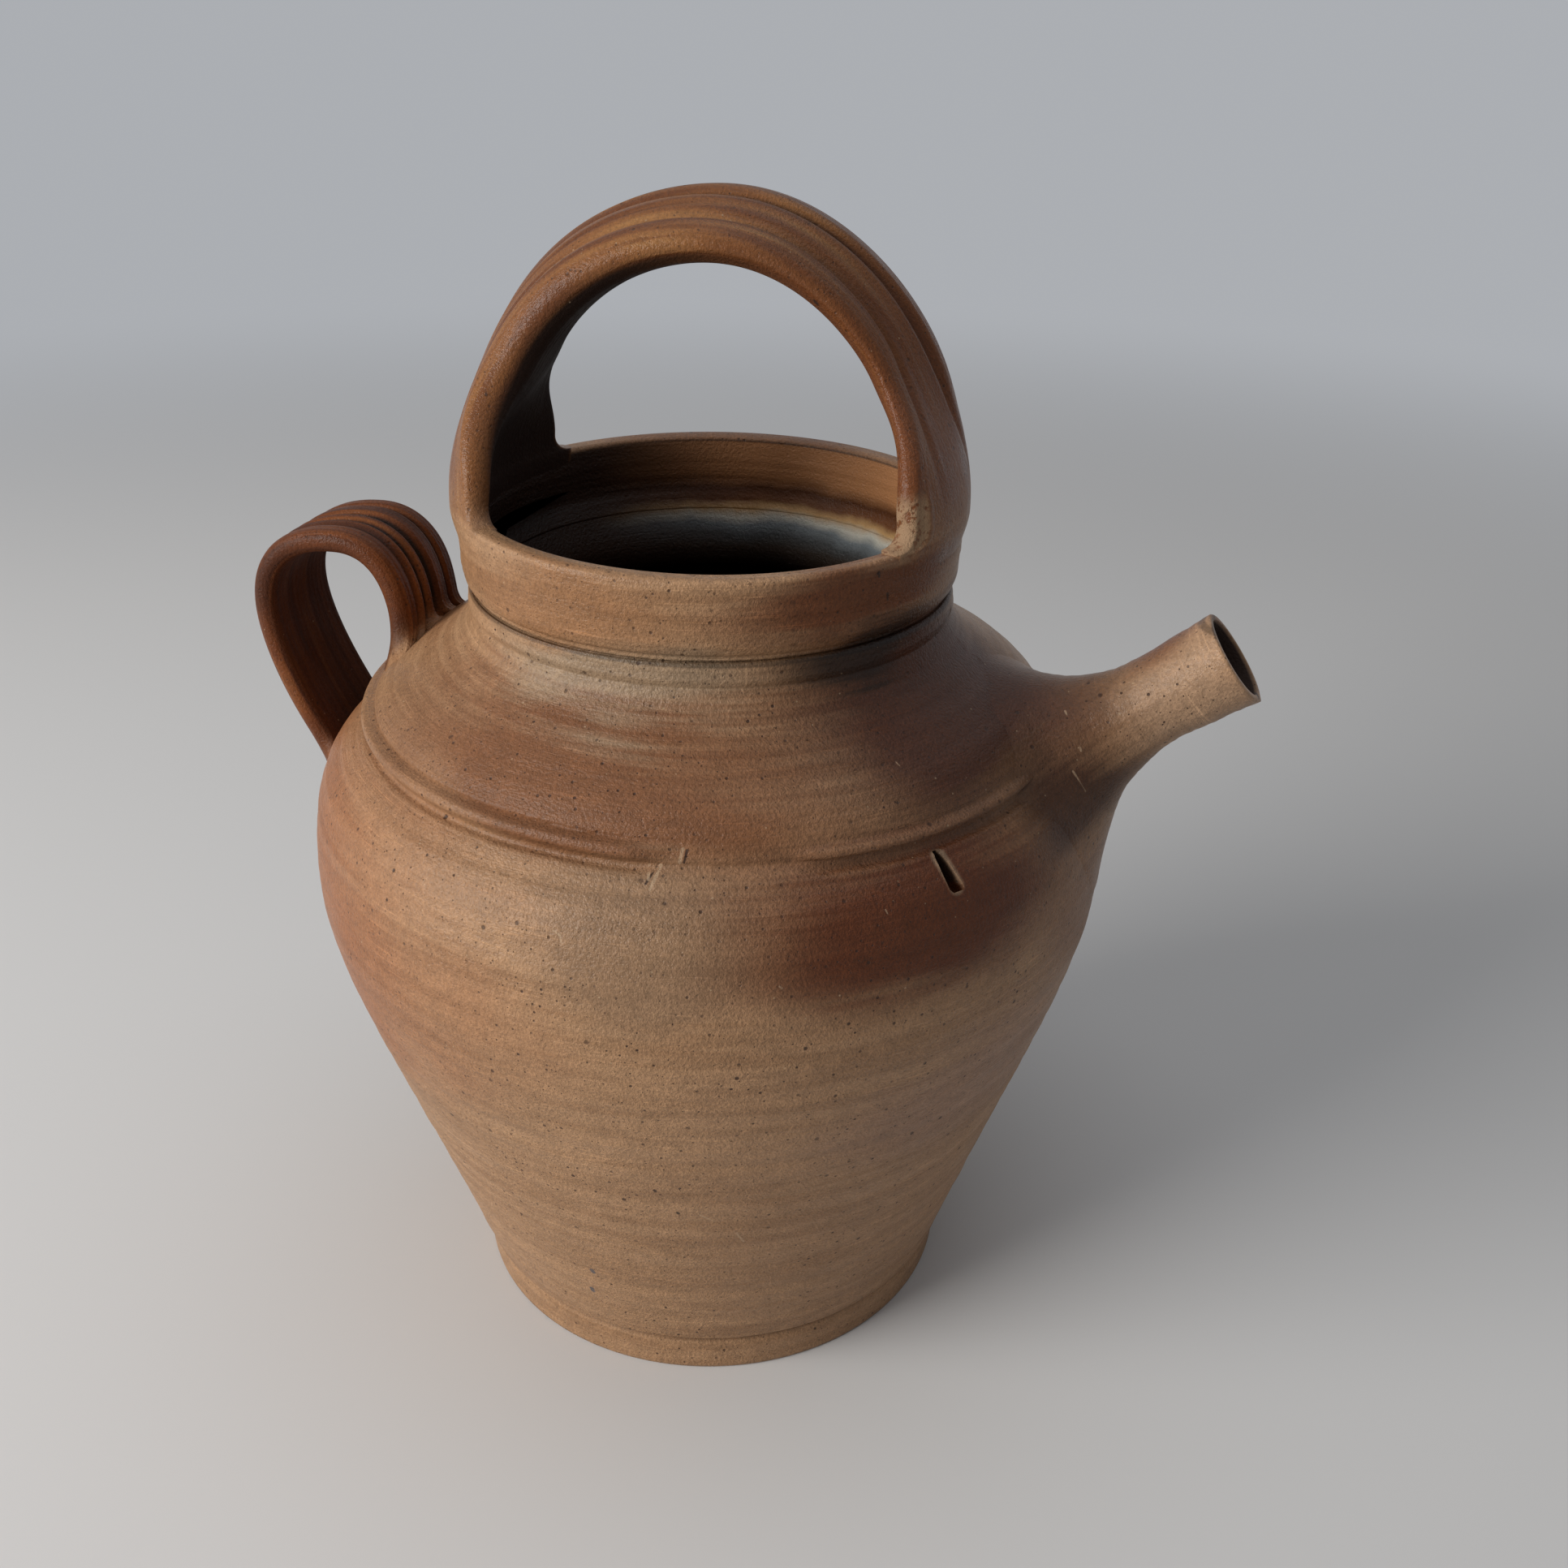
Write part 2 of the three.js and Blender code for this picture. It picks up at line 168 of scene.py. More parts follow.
def cutAway(obj, cutters):
    for cutter in cutters:
        shape = bmesh.new()
        shape.from_mesh(cutter.data)
        bmesh.ops.recalc_face_normals(shape, faces=shape.faces)
        shape.to_mesh(cutter.data)
        shape.free()
        modifier = obj.modifiers.new("cut", "BOOLEAN")
        modifier.object = cutter
        modifier.operation = "DIFFERENCE"
        modifier.solver = "MANIFOLD"
    bpy.context.view_layer.update()
    evaluated = obj.evaluated_get(bpy.context.evaluated_depsgraph_get())
    mesh = bpy.data.meshes.new_from_object(evaluated)
    obj.modifiers.clear()
    obj.data = mesh
    for cutter in cutters:
        bpy.data.objects.remove(cutter)


# jar: foot, belly, bead, shoulder and neck, with the inside

jar = dict(
    footRadius=63.4, footRounding=0.9, footBand=9, footGrooveDepth=1.3, footGrooveWidth=3, footStep=1.6,
    floor=8, wall=6, bellyRadius=97.5, bellyHeight=123,
    beadRadius=84.8, beadHeight=157.2, beadSlope=38, beadWidth=5.8,
    # the bead stands a little further up the wall than the solid's, and climbs towards the side handle
    bead=dict(
        shift=4.5, sway=1.25, swayTurn=72, swaySharpness=2.2, rise=2.0, half=1.5,
        # smeared flat at the front, worn at the back: azimuth, reach in degrees and share
        smearedAt=-71.5, smearedReach=(15, 8), smeared=0.93, wornAt=95, wornReach=30, worn=0.25,
        # lines beside it: how far up from the crest, how proud and how wide
        beside=((-3.3, -0.6, 1.1), (-5.2, 0.12, 0.9)),
        incised=(2.5, -0.4, 0.42), incisedAt=-150, incisedReach=(78, 50),
    ),
    shoulderSpring=14, shoulderTopRadius=56.8, coveHeight=14, coveDraw=3.5,
    neckRadius=56, neckHeight=192, neckGroove=1.6, throatRadius=47.5, throatDepth=7, galleryDrop=7,
    outsideStep=0.9, fineStep=0.33, insideStep=2.6, turns=560,
    rippleDepth=0.08, lineDepth=0.04, warp=0.3,
    # clay pushed up where the collar was luted on: how far under it, how proud and how wide
    neckRidges=((3.6, 0.45, 1.1), (5.6, -0.3, 0.38)),
    # finger lines: how far up the wall, how deep and how wide
    fingerLines=((38, 0.16, 1.1), (57, 0.1, 0.8), (97, 0.12, 0.9), (188, 0.14, 0.9), (205, 0.1, 0.8)),
)


def jarLines():
    j = jar
    wallFoot = np.array([j["footRadius"] + j["footStep"], j["footBand"] + j["footGrooveWidth"]])
    rise = j["bellyHeight"] - wallFoot[1]
    swell = j["bellyRadius"] - wallFoot[0]
    belly = (j["bellyRadius"], j["bellyHeight"])
    lower = cubic(
        wallFoot,
        (wallFoot[0] + 0.57 * swell, wallFoot[1] + 0.54 * rise),
        (j["bellyRadius"], j["bellyHeight"] - 0.17 * rise),
        belly,
        80,
    )
    slope = math.radians(j["beadSlope"])
    along = np.array([-math.cos(slope), math.sin(slope)])
    bead = np.array([j["beadRadius"], j["beadHeight"]])
    beadStart = bead - along * j["beadWidth"] / 2
    beadEnd = bead + along * j["beadWidth"] / 2
    climb = beadStart[1] - j["bellyHeight"]
    upper = cubic(
        belly,
        (j["bellyRadius"], j["bellyHeight"] + 0.54 * climb),
        (blend(beadStart[0], j["bellyRadius"], 0.7), j["bellyHeight"] + 0.83 * climb),
        beadStart,
        50,
    )
    shoulderTop = (j["shoulderTopRadius"], j["neckHeight"] - j["neckGroove"])
    shoulder = cubic(
        beadEnd,
        (beadEnd[0] - 1, beadEnd[1] + j["shoulderSpring"]),
        (shoulderTop[0] - j["coveDraw"], shoulderTop[1] - j["coveHeight"]),
        shoulderTop,
        60,
    )
    groove = (
        j["footRadius"] + j["footStep"] / 2 - j["footGrooveDepth"],
        j["footBand"] + j["footGrooveWidth"] / 2,
    )
    foot = joined(
        arc((j["footRadius"] - j["footRounding"], j["footRounding"]), j["footRounding"], -90, 0),
        quadratic(
            (j["footRadius"] + j["footStep"] * 0.2, j["footBand"] * 0.6),
            (j["footRadius"] + j["footStep"] * 0.5, j["footBand"] * 1.02),
            groove,
            12,
        ),
        quadratic(groove, (groove[0] + 0.3, wallFoot[1] - 0.3), wallFoot, 8),
    )
    neck = joined(
        arc((j["neckRadius"] + 0.3, j["neckHeight"] - j["neckGroove"] / 2), 0.5, 60, 180, 6),
        [(j["neckRadius"], j["neckHeight"] + 0.2)],
    )
    outside = joined(foot, lower, upper, shoulder, neck)
    return dict(outside=outside, lower=lower, upper=upper, shoulder=shoulder)


def normalsOf(line):
    ahead = np.gradient(line, axis=0)
    right = np.stack([ahead[:, 1], -ahead[:, 0]], 1)
    return right / np.maximum(np.linalg.norm(right, axis=1, keepdims=True), 1e-9)


def jarInside(lines):
    j = jar
    wall = joined(lines["lower"], lines["upper"])
    inner = wall - normalsOf(wall) * j["wall"]
    inner = inner[inner[:, 1] > j["floor"] + j["wall"]]
    throatTop = j["neckHeight"] - j["galleryDrop"]
    throatBottom = (j["throatRadius"], throatTop - j["throatDepth"])
    bend = lines["shoulder"][18] - np.array([j["wall"] / 2, 0])
    shoulder = quadratic(inner[-1], bend, throatBottom)
    floorEdge = np.array([inner[0][0] - j["wall"] / 2, j["floor"]])
    corner = quadratic(inner[0], (inner[0][0] - 1, j["floor"] + 0.5), floorEdge, 8)
    mouthRadius = galleryRadius(j["neckHeight"])
    top = np.array([
        (mouthRadius, j["neckHeight"] + 0.2),
        (j["throatRadius"] + 0.6, throatTop + 0.8),
        (j["throatRadius"], throatTop - 0.8),
    ])
    return joined(top, shoulder[::-1], inner[::-1], corner)


def galleryRadius(height):
    bottom = jar["neckHeight"] - jar["galleryDrop"]
    top = jar["neckHeight"] + collar["gallerySlope"]
    share = (height - bottom) / (top - bottom)
    return blend(jar["throatRadius"], collar["radius"] - collar["wall"], share)


# collar: a thrown ring on the neck, with the upper half of the lid gallery inside

collar = dict(
    radius=58.5, height=19, wall=5, edgeRadius=57.1, edgeHeight=2, footRounding=6, footLean=0.4,
    lipRounding=1.3, gallerySlope=5, step=0.7, turns=560, rimWave=0.35, lineDepth=0.05,
)

lines = jarLines()
wheelAngles = np.linspace(0, 2 * np.pi, jar["turns"], endpoint=False)[None, :]


def degreesFrom(angles, middle):
    return (np.degrees(angles) - middle + 180) % 360 - 180


def beadPlace(line):
    nearest = np.argmin(np.hypot(line[:, 0] - jar["beadRadius"], line[:, 1] - jar["beadHeight"]))
    return lengthsAlong(line)[nearest]


# How far the outside stands proud of its turned line, row by row and round the wheel
def jarRelief(line, angles):
    b = jar["bead"]
    height = line[:, 1][:, None]
    along = lengthsAlong(line)[:, None]
    climbing = np.clip(b["swaySharpness"] * np.sin(angles + math.radians(b["swayTurn"])), -1, 1)
    fromBead = along - beadPlace(line) - b["shift"] + b["sway"] * climbing
    fromNeck = jar["neckHeight"] - height
    above = smoothStep(height, 1, 16)
    relief = jar["warp"] * above * wheelNoise(angles, along, 3, 260, 2, 8)
    relief = relief + jar["rippleDepth"] * above * wheelNoise(angles, along + angles * 0.9, 5, 11, 2)
    relief = relief + jar["lineDepth"] * above * wheelNoise(angles, along + angles * 0.5, 7, 2.9, 2, 22)
    kept = 1 - b["smeared"] * smoothStep(np.abs(degreesFrom(angles, b["smearedAt"])), *b["smearedReach"])
    worn = 1 - b["worn"] * bump(degreesFrom(angles, b["wornAt"]), b["wornReach"])
    bead = np.exp(-np.abs(fromBead / b["half"]) ** 3)
    relief = relief + b["rise"] * bead * kept * worn
    for place, rise, width in b["beside"]:
        relief = relief + rise * bump(fromBead - place, width) * kept
    place, rise, width = b["incised"]
    incised = 0.2 + 0.8 * smoothStep(np.abs(degreesFrom(angles, b["incisedAt"])), *b["incisedReach"])
    relief = relief + rise * bump(fromBead - place, width) * incised
    for place, rise, width in jar["neckRidges"]:
        relief = relief + rise * bump(fromNeck - place, width)
    for place, depth, width in jar["fingerLines"]:
        drift = 0.8 * np.sin(angles + place)
        relief = relief - depth * above * bump(along - place - drift, width)
    return relief


def turnedRings(line, relief, angles):
    moved = line[:, None, :] + normalsOf(line)[:, None, :] * relief[:, :, None]
    return np.stack([
        moved[:, :, 0] * np.cos(angles),
        moved[:, :, 0] * np.sin(angles),
        moved[:, :, 1],
    ], 2)


def makeJar():
    total = lengthsAlong(lines["outside"])[-1]
    bead = beadPlace(lines["outside"])

    # fine steps at the bead, the neck and the foot's groove
    def stepAt(place):
        near = np.minimum(np.abs(place - bead - jar["bead"]["shift"]) / 9, (total - place) / 9)
        near = np.minimum(near, np.abs(place - jar["footBand"] - 1) / 6)
        return blend(jar["fineStep"], jar["outsideStep"], smoothStep(near, 0.8, 1.6))

    outside = spaced(lines["outside"], stepAt)
    inside = evenly(jarInside(lines), jar["insideStep"])
    under = np.array([(4.0, 0.0), (20, 0), (40, 0), (55, 0)])
    floor = np.stack([np.linspace(inside[-1][0], 4, 14)[1:], np.full(13, jar["floor"])], 1)
    inner = np.vstack([inside, floor])
    reliefOut = jarRelief(outside, wheelAngles)
    reliefIn = 0.22 * wheelNoise(wheelAngles, lengthsAlong(inner)[:, None] + wheelAngles * 1.6, 11, 10, 1)
    reliefIn = reliefIn * smoothStep(lengthsAlong(inner), 6, 20)[:, None]
    rings = np.vstack([
        turnedRings(under, np.zeros((len(under), jar["turns"])), wheelAngles),
        turnedRings(outside, reliefOut, wheelAngles),
        turnedRings(inner, reliefIn, wheelAngles),
    ])
    innerMark = np.zeros(rings.shape[:2])
    innerMark[len(under) + len(outside):] = 1
    return makeLoft("jarBody", rings, {"inner": innerMark})


def makeCollar():
    c = collar
    bottom = jar["neckHeight"] + 0.1
    rim = jar["neckHeight"] + c["height"]
    edge = bottom + c["edgeHeight"]
    inner = c["radius"] - c["wall"]
    side = c["radius"] - c["footLean"]
    outside = joined(
        [(jar["neckRadius"], bottom), (jar["neckRadius"], edge - c["edgeHeight"] / 3)],
        quadratic(
            (jar["neckRadius"] + 0.2, edge - 0.5),
            (c["edgeRadius"], edge - 0.4),
            (c["edgeRadius"] + 0.1, edge + 0.4),
            6,
        ),
        quadratic(
            (c["edgeRadius"] + 0.1, edge + 0.4),
            (side, edge + c["footRounding"] / 3),
            (side, edge + c["footRounding"]),
            12,
        ),
        [(c["radius"], rim - 2 * c["lipRounding"])],
        arc((c["radius"] - c["lipRounding"], rim - c["lipRounding"]), c["lipRounding"], 0, 90),
        arc((inner + c["lipRounding"], rim - c["lipRounding"] - 0.15), c["lipRounding"], 90, 180),
    )
    slopeTop = jar["neckHeight"] + c["gallerySlope"]
    inside = joined(
        [(inner, rim - 2 * c["lipRounding"]), (inner, slopeTop + 1)],
        quadratic((inner, slopeTop + 1), (inner, slopeTop), (galleryRadius(slopeTop - 1), slopeTop - 1), 6),
        [(galleryRadius(bottom), bottom)],
    )
    line = np.vstack([evenly(outside, c["step"]), evenly(inside, c["step"])[1:]])
    height = line[:, 1][:, None]
    along = lengthsAlong(line)[:, None]
    insideFrom = lengthsAlong(evenly(outside, c["step"]))[-1]
    relief = c["lineDepth"] * wheelNoise(wheelAngles, along + wheelAngles * 0.4, 21, 2.4, 2, 20)
    relief = relief + 0.09 * wheelNoise(wheelAngles, along, 23, 9, 3)
    relief = relief * smoothStep(height, bottom + 0.6, bottom + 2)
    rings = turnedRings(line, relief, wheelAngles)
    wave = c["rimWave"] * (np.sin(2 * wheelAngles + 0.6) + 0.6 * np.sin(3 * wheelAngles + 2)) / 1.6
    rings[:, :, 2] += wave * smoothStep(height, bottom + 4, rim)
    innerMark = np.broadcast_to(smoothStep(along, insideFrom - 1.2, insideFrom + 0.4), rings.shape[:2])
    return makeTube("collarRing", rings, {"inner": innerMark})


# The wall's outside as a line that climbs, for pieces that are luted onto it
seatLine = evenly(joined(lines["lower"], lines["upper"], lines["shoulder"]), 0.5)
seatNormals = normalsOf(seatLine)


def seatRadius(height):
    return float(np.interp(height, seatLine[:, 1], seatLine[:, 0]))


# A point of the wall in millimetres, from its azimuth in degrees and its height
def wallPoint(azimuth, height, lift=0.0):
    turn = math.radians(azimuth)
    radius = seatRadius(height) + lift
    return np.array([radius * math.cos(turn), radius * math.sin(turn), height])


# Nearest point of the jar's outside, its normal and the distance, for rows of points
def seatAt(points):
    flat = points.reshape(-1, 3)
    radius = np.hypot(flat[:, 0], flat[:, 1])
    place = np.stack([radius, flat[:, 2]], 1)
    nearest = np.empty(len(flat), int)
    for i in range(0, len(flat), 20000):
        part = place[i:i + 20000]
        nearest[i:i + 20000] = np.argmin(((part[:, None, :] - seatLine[None]) ** 2).sum(2), 1)
    normal2 = seatNormals[nearest]
    distance = ((place - seatLine[nearest]) * normal2).sum(1)
    outward = flat[:, :2] / radius[:, None]
    normal = np.stack([outward[:, 0] * normal2[:, 0], outward[:, 1] * normal2[:, 0], normal2[:, 1]], 1)
    return distance.reshape(points.shape[:-1]), normal.reshape(points.shape)


# Spreads the end of a piece over the jar in a round fillet of smeared clay
def luteOnto(rings, fillet):
    distance, normal = seatAt(rings)
    middle = rings.mean(1, keepdims=True)
    away = rings - middle
    away = away - (away * normal).sum(2, keepdims=True) * normal
    away = away / np.maximum(np.linalg.norm(away, axis=2, keepdims=True), 1e-6)
    share = np.clip(1 - distance / fillet, 0, 0.985)
    spread = fillet * (1 - np.sqrt(1 - share ** 2))
    moved = rings + away * spread[..., None]
    for _ in range(2):
        nowAt, nowNormal = seatAt(moved)
        hold = (share > 0)[..., None]
        moved = moved + np.where(hold, (distance - nowAt)[..., None] * nowNormal, 0)
    return moved, smoothStep(distance, fillet * 1.6, 0)


# spout: a thrown trumpet, hollow, luted over a hole in the shoulder

spout = dict(
    reach=121.5, height=184, rise=37.5, length=52, mouthRadius=11.2, waistRadius=10.4, waistDistance=20,
    footRadius=28.8, wall=2.8, lipWall=1.9, holeRadius=12, turns=220, step=0.6, fillet=6,
    # a bead of glaze that ran to the lowest point of the lip
    drip=dict(turn=180, halfTurn=15, place=0.4, halfLength=1.7, rise=0.9),
    sink=0.016, sinkShare=0.08, lipRounding=0.35, lipSmokeAndShade=0.17,
)


def spoutFrame():
    rise = math.radians(spout["rise"])
    mouth = np.array([spout["reach"], 0, spout["height"]])
    back = np.array([-math.cos(rise), 0, -math.sin(rise)])
    upward = np.array([-math.sin(rise), 0, math.cos(rise)])
    return mouth, back, upward


def spoutRadius(distance):
    beyond = (distance - spout["waistDistance"]) / (spout["length"] - spout["waistDistance"])
    before = (spout["waistDistance"] - distance) / spout["waistDistance"]
    mouthFlare = (spout["mouthRadius"] - spout["waistRadius"]) * np.clip(before, 0, 1) ** 2
    footFlare = (spout["footRadius"] - spout["waistRadius"]) * np.clip(beyond, 0, 1.3) ** 2
    return spout["waistRadius"] + mouthFlare + footFlare


def spoutRing(distance, radius, angles):
    mouth, back, upward = spoutFrame()
    across = np.array([0, 1.0, 0])
    turned = np.cos(angles)[..., None] * upward + np.sin(angles)[..., None] * across
    return mouth + distance[..., None] * back + radius[..., None] * turned


def makeSpout():
    s = spout
    angles = np.linspace(0, 2 * np.pi, s["turns"], endpoint=False)[None, :]
    distance = np.arange(0, s["length"] + 1, s["step"])[:, None] + 0 * angles
    radius = spoutRadius(distance)
    radius = radius + 0.05 * wheelNoise(angles, distance, 31, 3.2, 2, 18)
    radius = radius + 0.12 * wheelNoise(angles, distance, 33, 14, 2)
    drip = s["drip"]
    below = bump(degreesFrom(angles, drip["turn"]), drip["halfTurn"])
    radius = radius + drip["rise"] * below * bump(distance - drip["place"], drip["halfLength"])
    rings = spoutRing(distance, radius, angles)
    rings, joint = luteOnto(rings, s["fillet"])
    # the buried end goes a little deeper, clear of the wall's face
    reached, normal = seatAt(rings)
    sunk = s["sinkShare"] * np.maximum(-reached, 0) + s["sink"] * (reached <= 0.02)
    rings = rings - normal * sunk[..., None]
    boreAt = np.arange(0.5, 46, 1.2)[:, None] + 0 * angles
    wall = blend(s["lipWall"], s["wall"], smoothStep(boreAt, 0, 7)) + 1.6 * smoothStep(boreAt, 20, 44)
    bore = np.minimum(spoutRadius(boreAt) - wall, s["holeRadius"] - 0.3)
    boreRings = spoutRing(boreAt, bore, angles)
    rounding = s["lipRounding"]
    lipRadii = [[s["mouthRadius"] - rounding], [s["mouthRadius"] - s["lipWall"] + rounding]]
    lipAt = np.full((2, 1), -rounding) + 0 * angles
    lip = spoutRing(lipAt, np.array(lipRadii) + 0 * angles, angles)
    closed = np.concatenate([rings[::-1], lip, boreRings], 0)
    outer, mouth, bored = (np.ones(part.shape[:2]) for part in (rings, lip, boreRings))
    marks = {
        "joint": [joint[::-1], 0 * mouth, 0 * bored],
        # the lip's share of the darkening by smoke and painted shade; the bore gets all of it
        "inner": [0 * outer, s["lipSmokeAndShade"] * mouth, bored],
        "run": [distance[::-1], lipAt, boreAt],
    }
    marks = {key: np.concatenate(values, 0) for key, values in marks.items()}
    return makeTube("spoutTrumpet", closed, marks, insideOut=True)


def spoutHoleCutter():
    angles = np.linspace(0, 2 * np.pi, 72, endpoint=False)[None, :]
    distance = np.array([[30.0], [82.0]]) + 0 * angles
    radius = np.full_like(distance, spout["holeRadius"])
    rings = spoutRing(distance, radius, angles)
    return makeLoft("holeCutter", rings)


# A gash in the belly, from its pointed top to its blunt bottom: azimuth and height of its middle line
gash = dict(
    places=((-41.5, 156.6), (-41.1, 154.6), (-40.9, 152.4), (-40.6, 150.4), (-40.4, 149.6)),
    halfWidths=(0.5, 1.2, 1.5, 1.75, 1.35),
    depth=3.8, floorShare=0.7, mouthShare=1.3, above=2, lean=(0.8, 0.6),
)


def gashCutter():
    rings = []
    for (azimuth, height), wide in zip(gash["places"], gash["halfWidths"]):
        turn = math.radians(azimuth)
        side = np.array([-math.sin(turn), math.cos(turn), 0])
        flat, up = gash["lean"]
        out = np.array([math.cos(turn) * flat, math.sin(turn) * flat, up])
        middle = wallPoint(azimuth, height)
        outer = middle + out * gash["above"]
        deep = middle - out * gash["depth"] * min(1, 0.3 + wide * 0.6)    # shallow where it is narrow
        rings.append([
            outer - side * wide * gash["mouthShare"],
            outer + side * wide * gash["mouthShare"],
            deep + side * wide * gash["floorShare"],
            deep - side * wide * gash["floorShare"],
        ])
    return makeLoft("gashCutter", np.array(rings))


# straps: pulled clay with rounded edges. across runs from -1 to 1 over the width.

def strapStops(count):
    return -np.cos(np.linspace(0, np.pi, count))


# Outline of a strap's section: out along the outer face and back along the inner one
def strapSection(stops, halfWidth, outer, inner, rounding):
    across = np.concatenate([stops, stops[::-1][1:-1]])
    fromEdge = (1 - np.abs(across)) * halfWidth
    q = np.clip(1 - fromEdge / rounding, 0, 1)
    edge = np.sqrt(1 - q ** 2)
    isOuter = np.concatenate([np.ones(len(stops), bool), np.zeros(len(stops) - 2, bool)])
    above, under = outer(across), inner(across)
    lift = (above - under) / 2 + np.where(isOuter, 0.5, -0.5) * (above + under) * edge
    return across, lift, isOuter


# bail: the strap over the mouth

bail = dict(
    top=278, turn=7, legWidth=68, crownWidth=32, taperHeight=46, cornerRadius=5.5, edgeThickness=10,
    ribRise=3, innerSwell=1.5, crestShare=0.3, frontDrop=3.4, dropChange=2.4,
    # where across on the crown and on the legs, how deep and wide, and how much of it the handle side keeps
    frontGroove=dict(crown=-0.48, leg=-0.66, depth=1.35, width=1.7, kept=0.6),
    backGroove=dict(crown=0.12, leg=0.04, depth=2.9, width=1.8, kept=0.35),
    crownHeights=(20, 60), handleSide=(-0.7, 0.3), thickened=0.8, ribsFrom=0.1,
    leastRounding=1.6, edgeRounding=(0.55, 0.95),
    stops=84, rows=230, skirt=9, skirtRise=1.2, skirtSink=0.5, skirtHeights=(4, 26), pullDepth=0.1,
    # the spout-side foot was cut at its front edge, which left a rough face with a raised flake
    cut=dict(
        bottom=(-3, 1), top=(14, 9), edge=(-0.83, -0.88), flakeAt=-0.84, flakeHalf=0.035, flakeRise=0.55,
    ),
    jointHeights=(-4, 12),
)


def makeBail():
    b = bail
    rim = jar["neckHeight"] + collar["height"]
    outerRise = b["top"] - rim
    stops = strapStops(b["stops"])
    rng = np.random.default_rng(41)
    pulls = [(rng.uniform(14, 44), rng.uniform(0, 6.3), rng.uniform(-1.5, 1.5)) for _ in range(12)]
    rings = []
    marks = {key: [] for key in ("groove", "joint", "inner", "across", "run", "cut")}

    def sectionAt(crest, normal, height, below, share):
        t = min(max(height / b["taperHeight"], 0), 1)
        climb = t ** 3 * (6 * t * t - 15 * t + 10)
        body = smoothStep(height, 0, b["taperHeight"] * b["thickened"])
        ribs = smoothStep(height, b["taperHeight"] * b["ribsFrom"], b["taperHeight"] * b["thickened"])
        corner = max(0.0, 1 - height / b["cornerRadius"])
        halfWidth = blend(b["legWidth"], b["crownWidth"], climb) / 2
        halfWidth = halfWidth + b["cornerRadius"] * (1 - math.sqrt(1 - corner * corner))
        halfEdge = blend(collar["wall"], b["edgeThickness"], body) / 2
        bend = blend(1, 1e-6, climb) / (collar["radius"] - collar["wall"] / 2)
        centre = crest - normal * (halfEdge + body * b["ribRise"])
        rounding = max(b["leastRounding"], halfEdge * blend(*b["edgeRounding"], body))
        faded = smoothStep(below, b["skirt"], 0)
        side = crest[0] / collar["radius"]
        frontDrop = b["frontDrop"] + b["dropChange"] * side
        spoutSide = smoothStep(side, *b["handleSide"])
        onCrown = smoothStep(height, *b["crownHeights"])

        def grooveAt(across, groove):
            away = (across - blend(groove["leg"], groove["crown"], onCrown)) * halfWidth / groove["width"]
            return np.exp(-2 * away * away) * blend(groove["kept"], 1, spoutSide)

        def groovesAt(across):
            return grooveAt(across, b["frontGroove"]), grooveAt(across, b["backGroove"])

        def pullLines(across):
            total = sum(np.sin(across * f + p + d * share * 3) for f, p, d in pulls)
            return b["pullDepth"] * total / 3

        skirt = b["skirtRise"] * faded * (1 - smoothStep(height, *b["skirtHeights"]))
        sink = b["skirtSink"] * (1 - faded)

        def outer(across):
            front, back = groovesAt(across)
            swell = 1 - ((across - b["crestShare"]) / (1 + b["crestShare"])) ** 2
            fall = smoothStep(-across, -b["crestShare"], -b["frontGroove"]["crown"] + 0.1)
            lift = halfEdge + body * (b["ribRise"] * swell - frontDrop * fall)
            lift = lift - ribs * (b["frontGroove"]["depth"] * front + b["backGroove"]["depth"] * back)
            return lift + skirt * (1 - across ** 4) - sink + pullLines(across) * climb

        def inner(across):
            lift = halfEdge + body * b["innerSwell"] * (1 - across * across)
            lift = lift + 0.5 * skirt * (1 - across ** 4) - sink
            return lift + 0.4 * pullLines(across + 0.3) * climb

        across, lift, isOuter = strapSection(stops, halfWidth, outer, inner, rounding)
        fromRim = height - below
        cut = b["cut"]
        atCut = (share > 0) * smoothStep(fromRim, *cut["bottom"]) * smoothStep(fromRim, *cut["top"])
        flake = cut["flakeRise"] * atCut * bump(across - cut["flakeAt"], cut["flakeHalf"])
        lift = lift + np.where(isOuter, flake, 0)
        turn = bend * across * halfWidth
        out = lift * np.cos(turn) - (1 - np.cos(turn)) / bend
        aside = np.sin(turn) / bend + lift * np.sin(turn)
        rings.append(centre + out[:, None] * normal + aside[:, None] * np.array([0, 1.0, 0]))
        front, back = groovesAt(across)
        marks["groove"].append(np.where(isOuter, np.maximum(0.55 * front, back) * ribs, 0))
        marks["joint"].append(np.full(len(across), 1 - smoothStep(fromRim, *b["jointHeights"])))
        marks["inner"].append(np.where(isOuter, 0, smoothStep(np.abs(across), 1.0, 0.93)))
        marks["across"].append(across)
        marks["cut"].append(atCut * smoothStep(across, *cut["edge"]))

    def below(side):
        depths = np.linspace(b["skirt"] + 2, 0.6, 16)
        for depth in depths if side < 0 else depths[::-1]:
            foot = np.array([side * collar["radius"], 0, rim - depth])
            sectionAt(foot, np.array([float(side), 0, 0]), 0, depth, side)

    below(-1)
    for i in np.linspace(-1, 1, b["rows"]):
        share = 1 - (1 - abs(i)) ** 1.35
        angle = np.pi / 2 * (1 - np.sign(i) * share)
        cos, sin = math.cos(angle), math.sin(angle)
        crest = np.array([collar["radius"] * cos, 0, rim + outerRise * sin])
        normal = np.array([cos * outerRise, 0, sin * collar["radius"]])
        sectionAt(crest, normal / np.linalg.norm(normal), crest[2] - rim, 0, i)
    below(1)

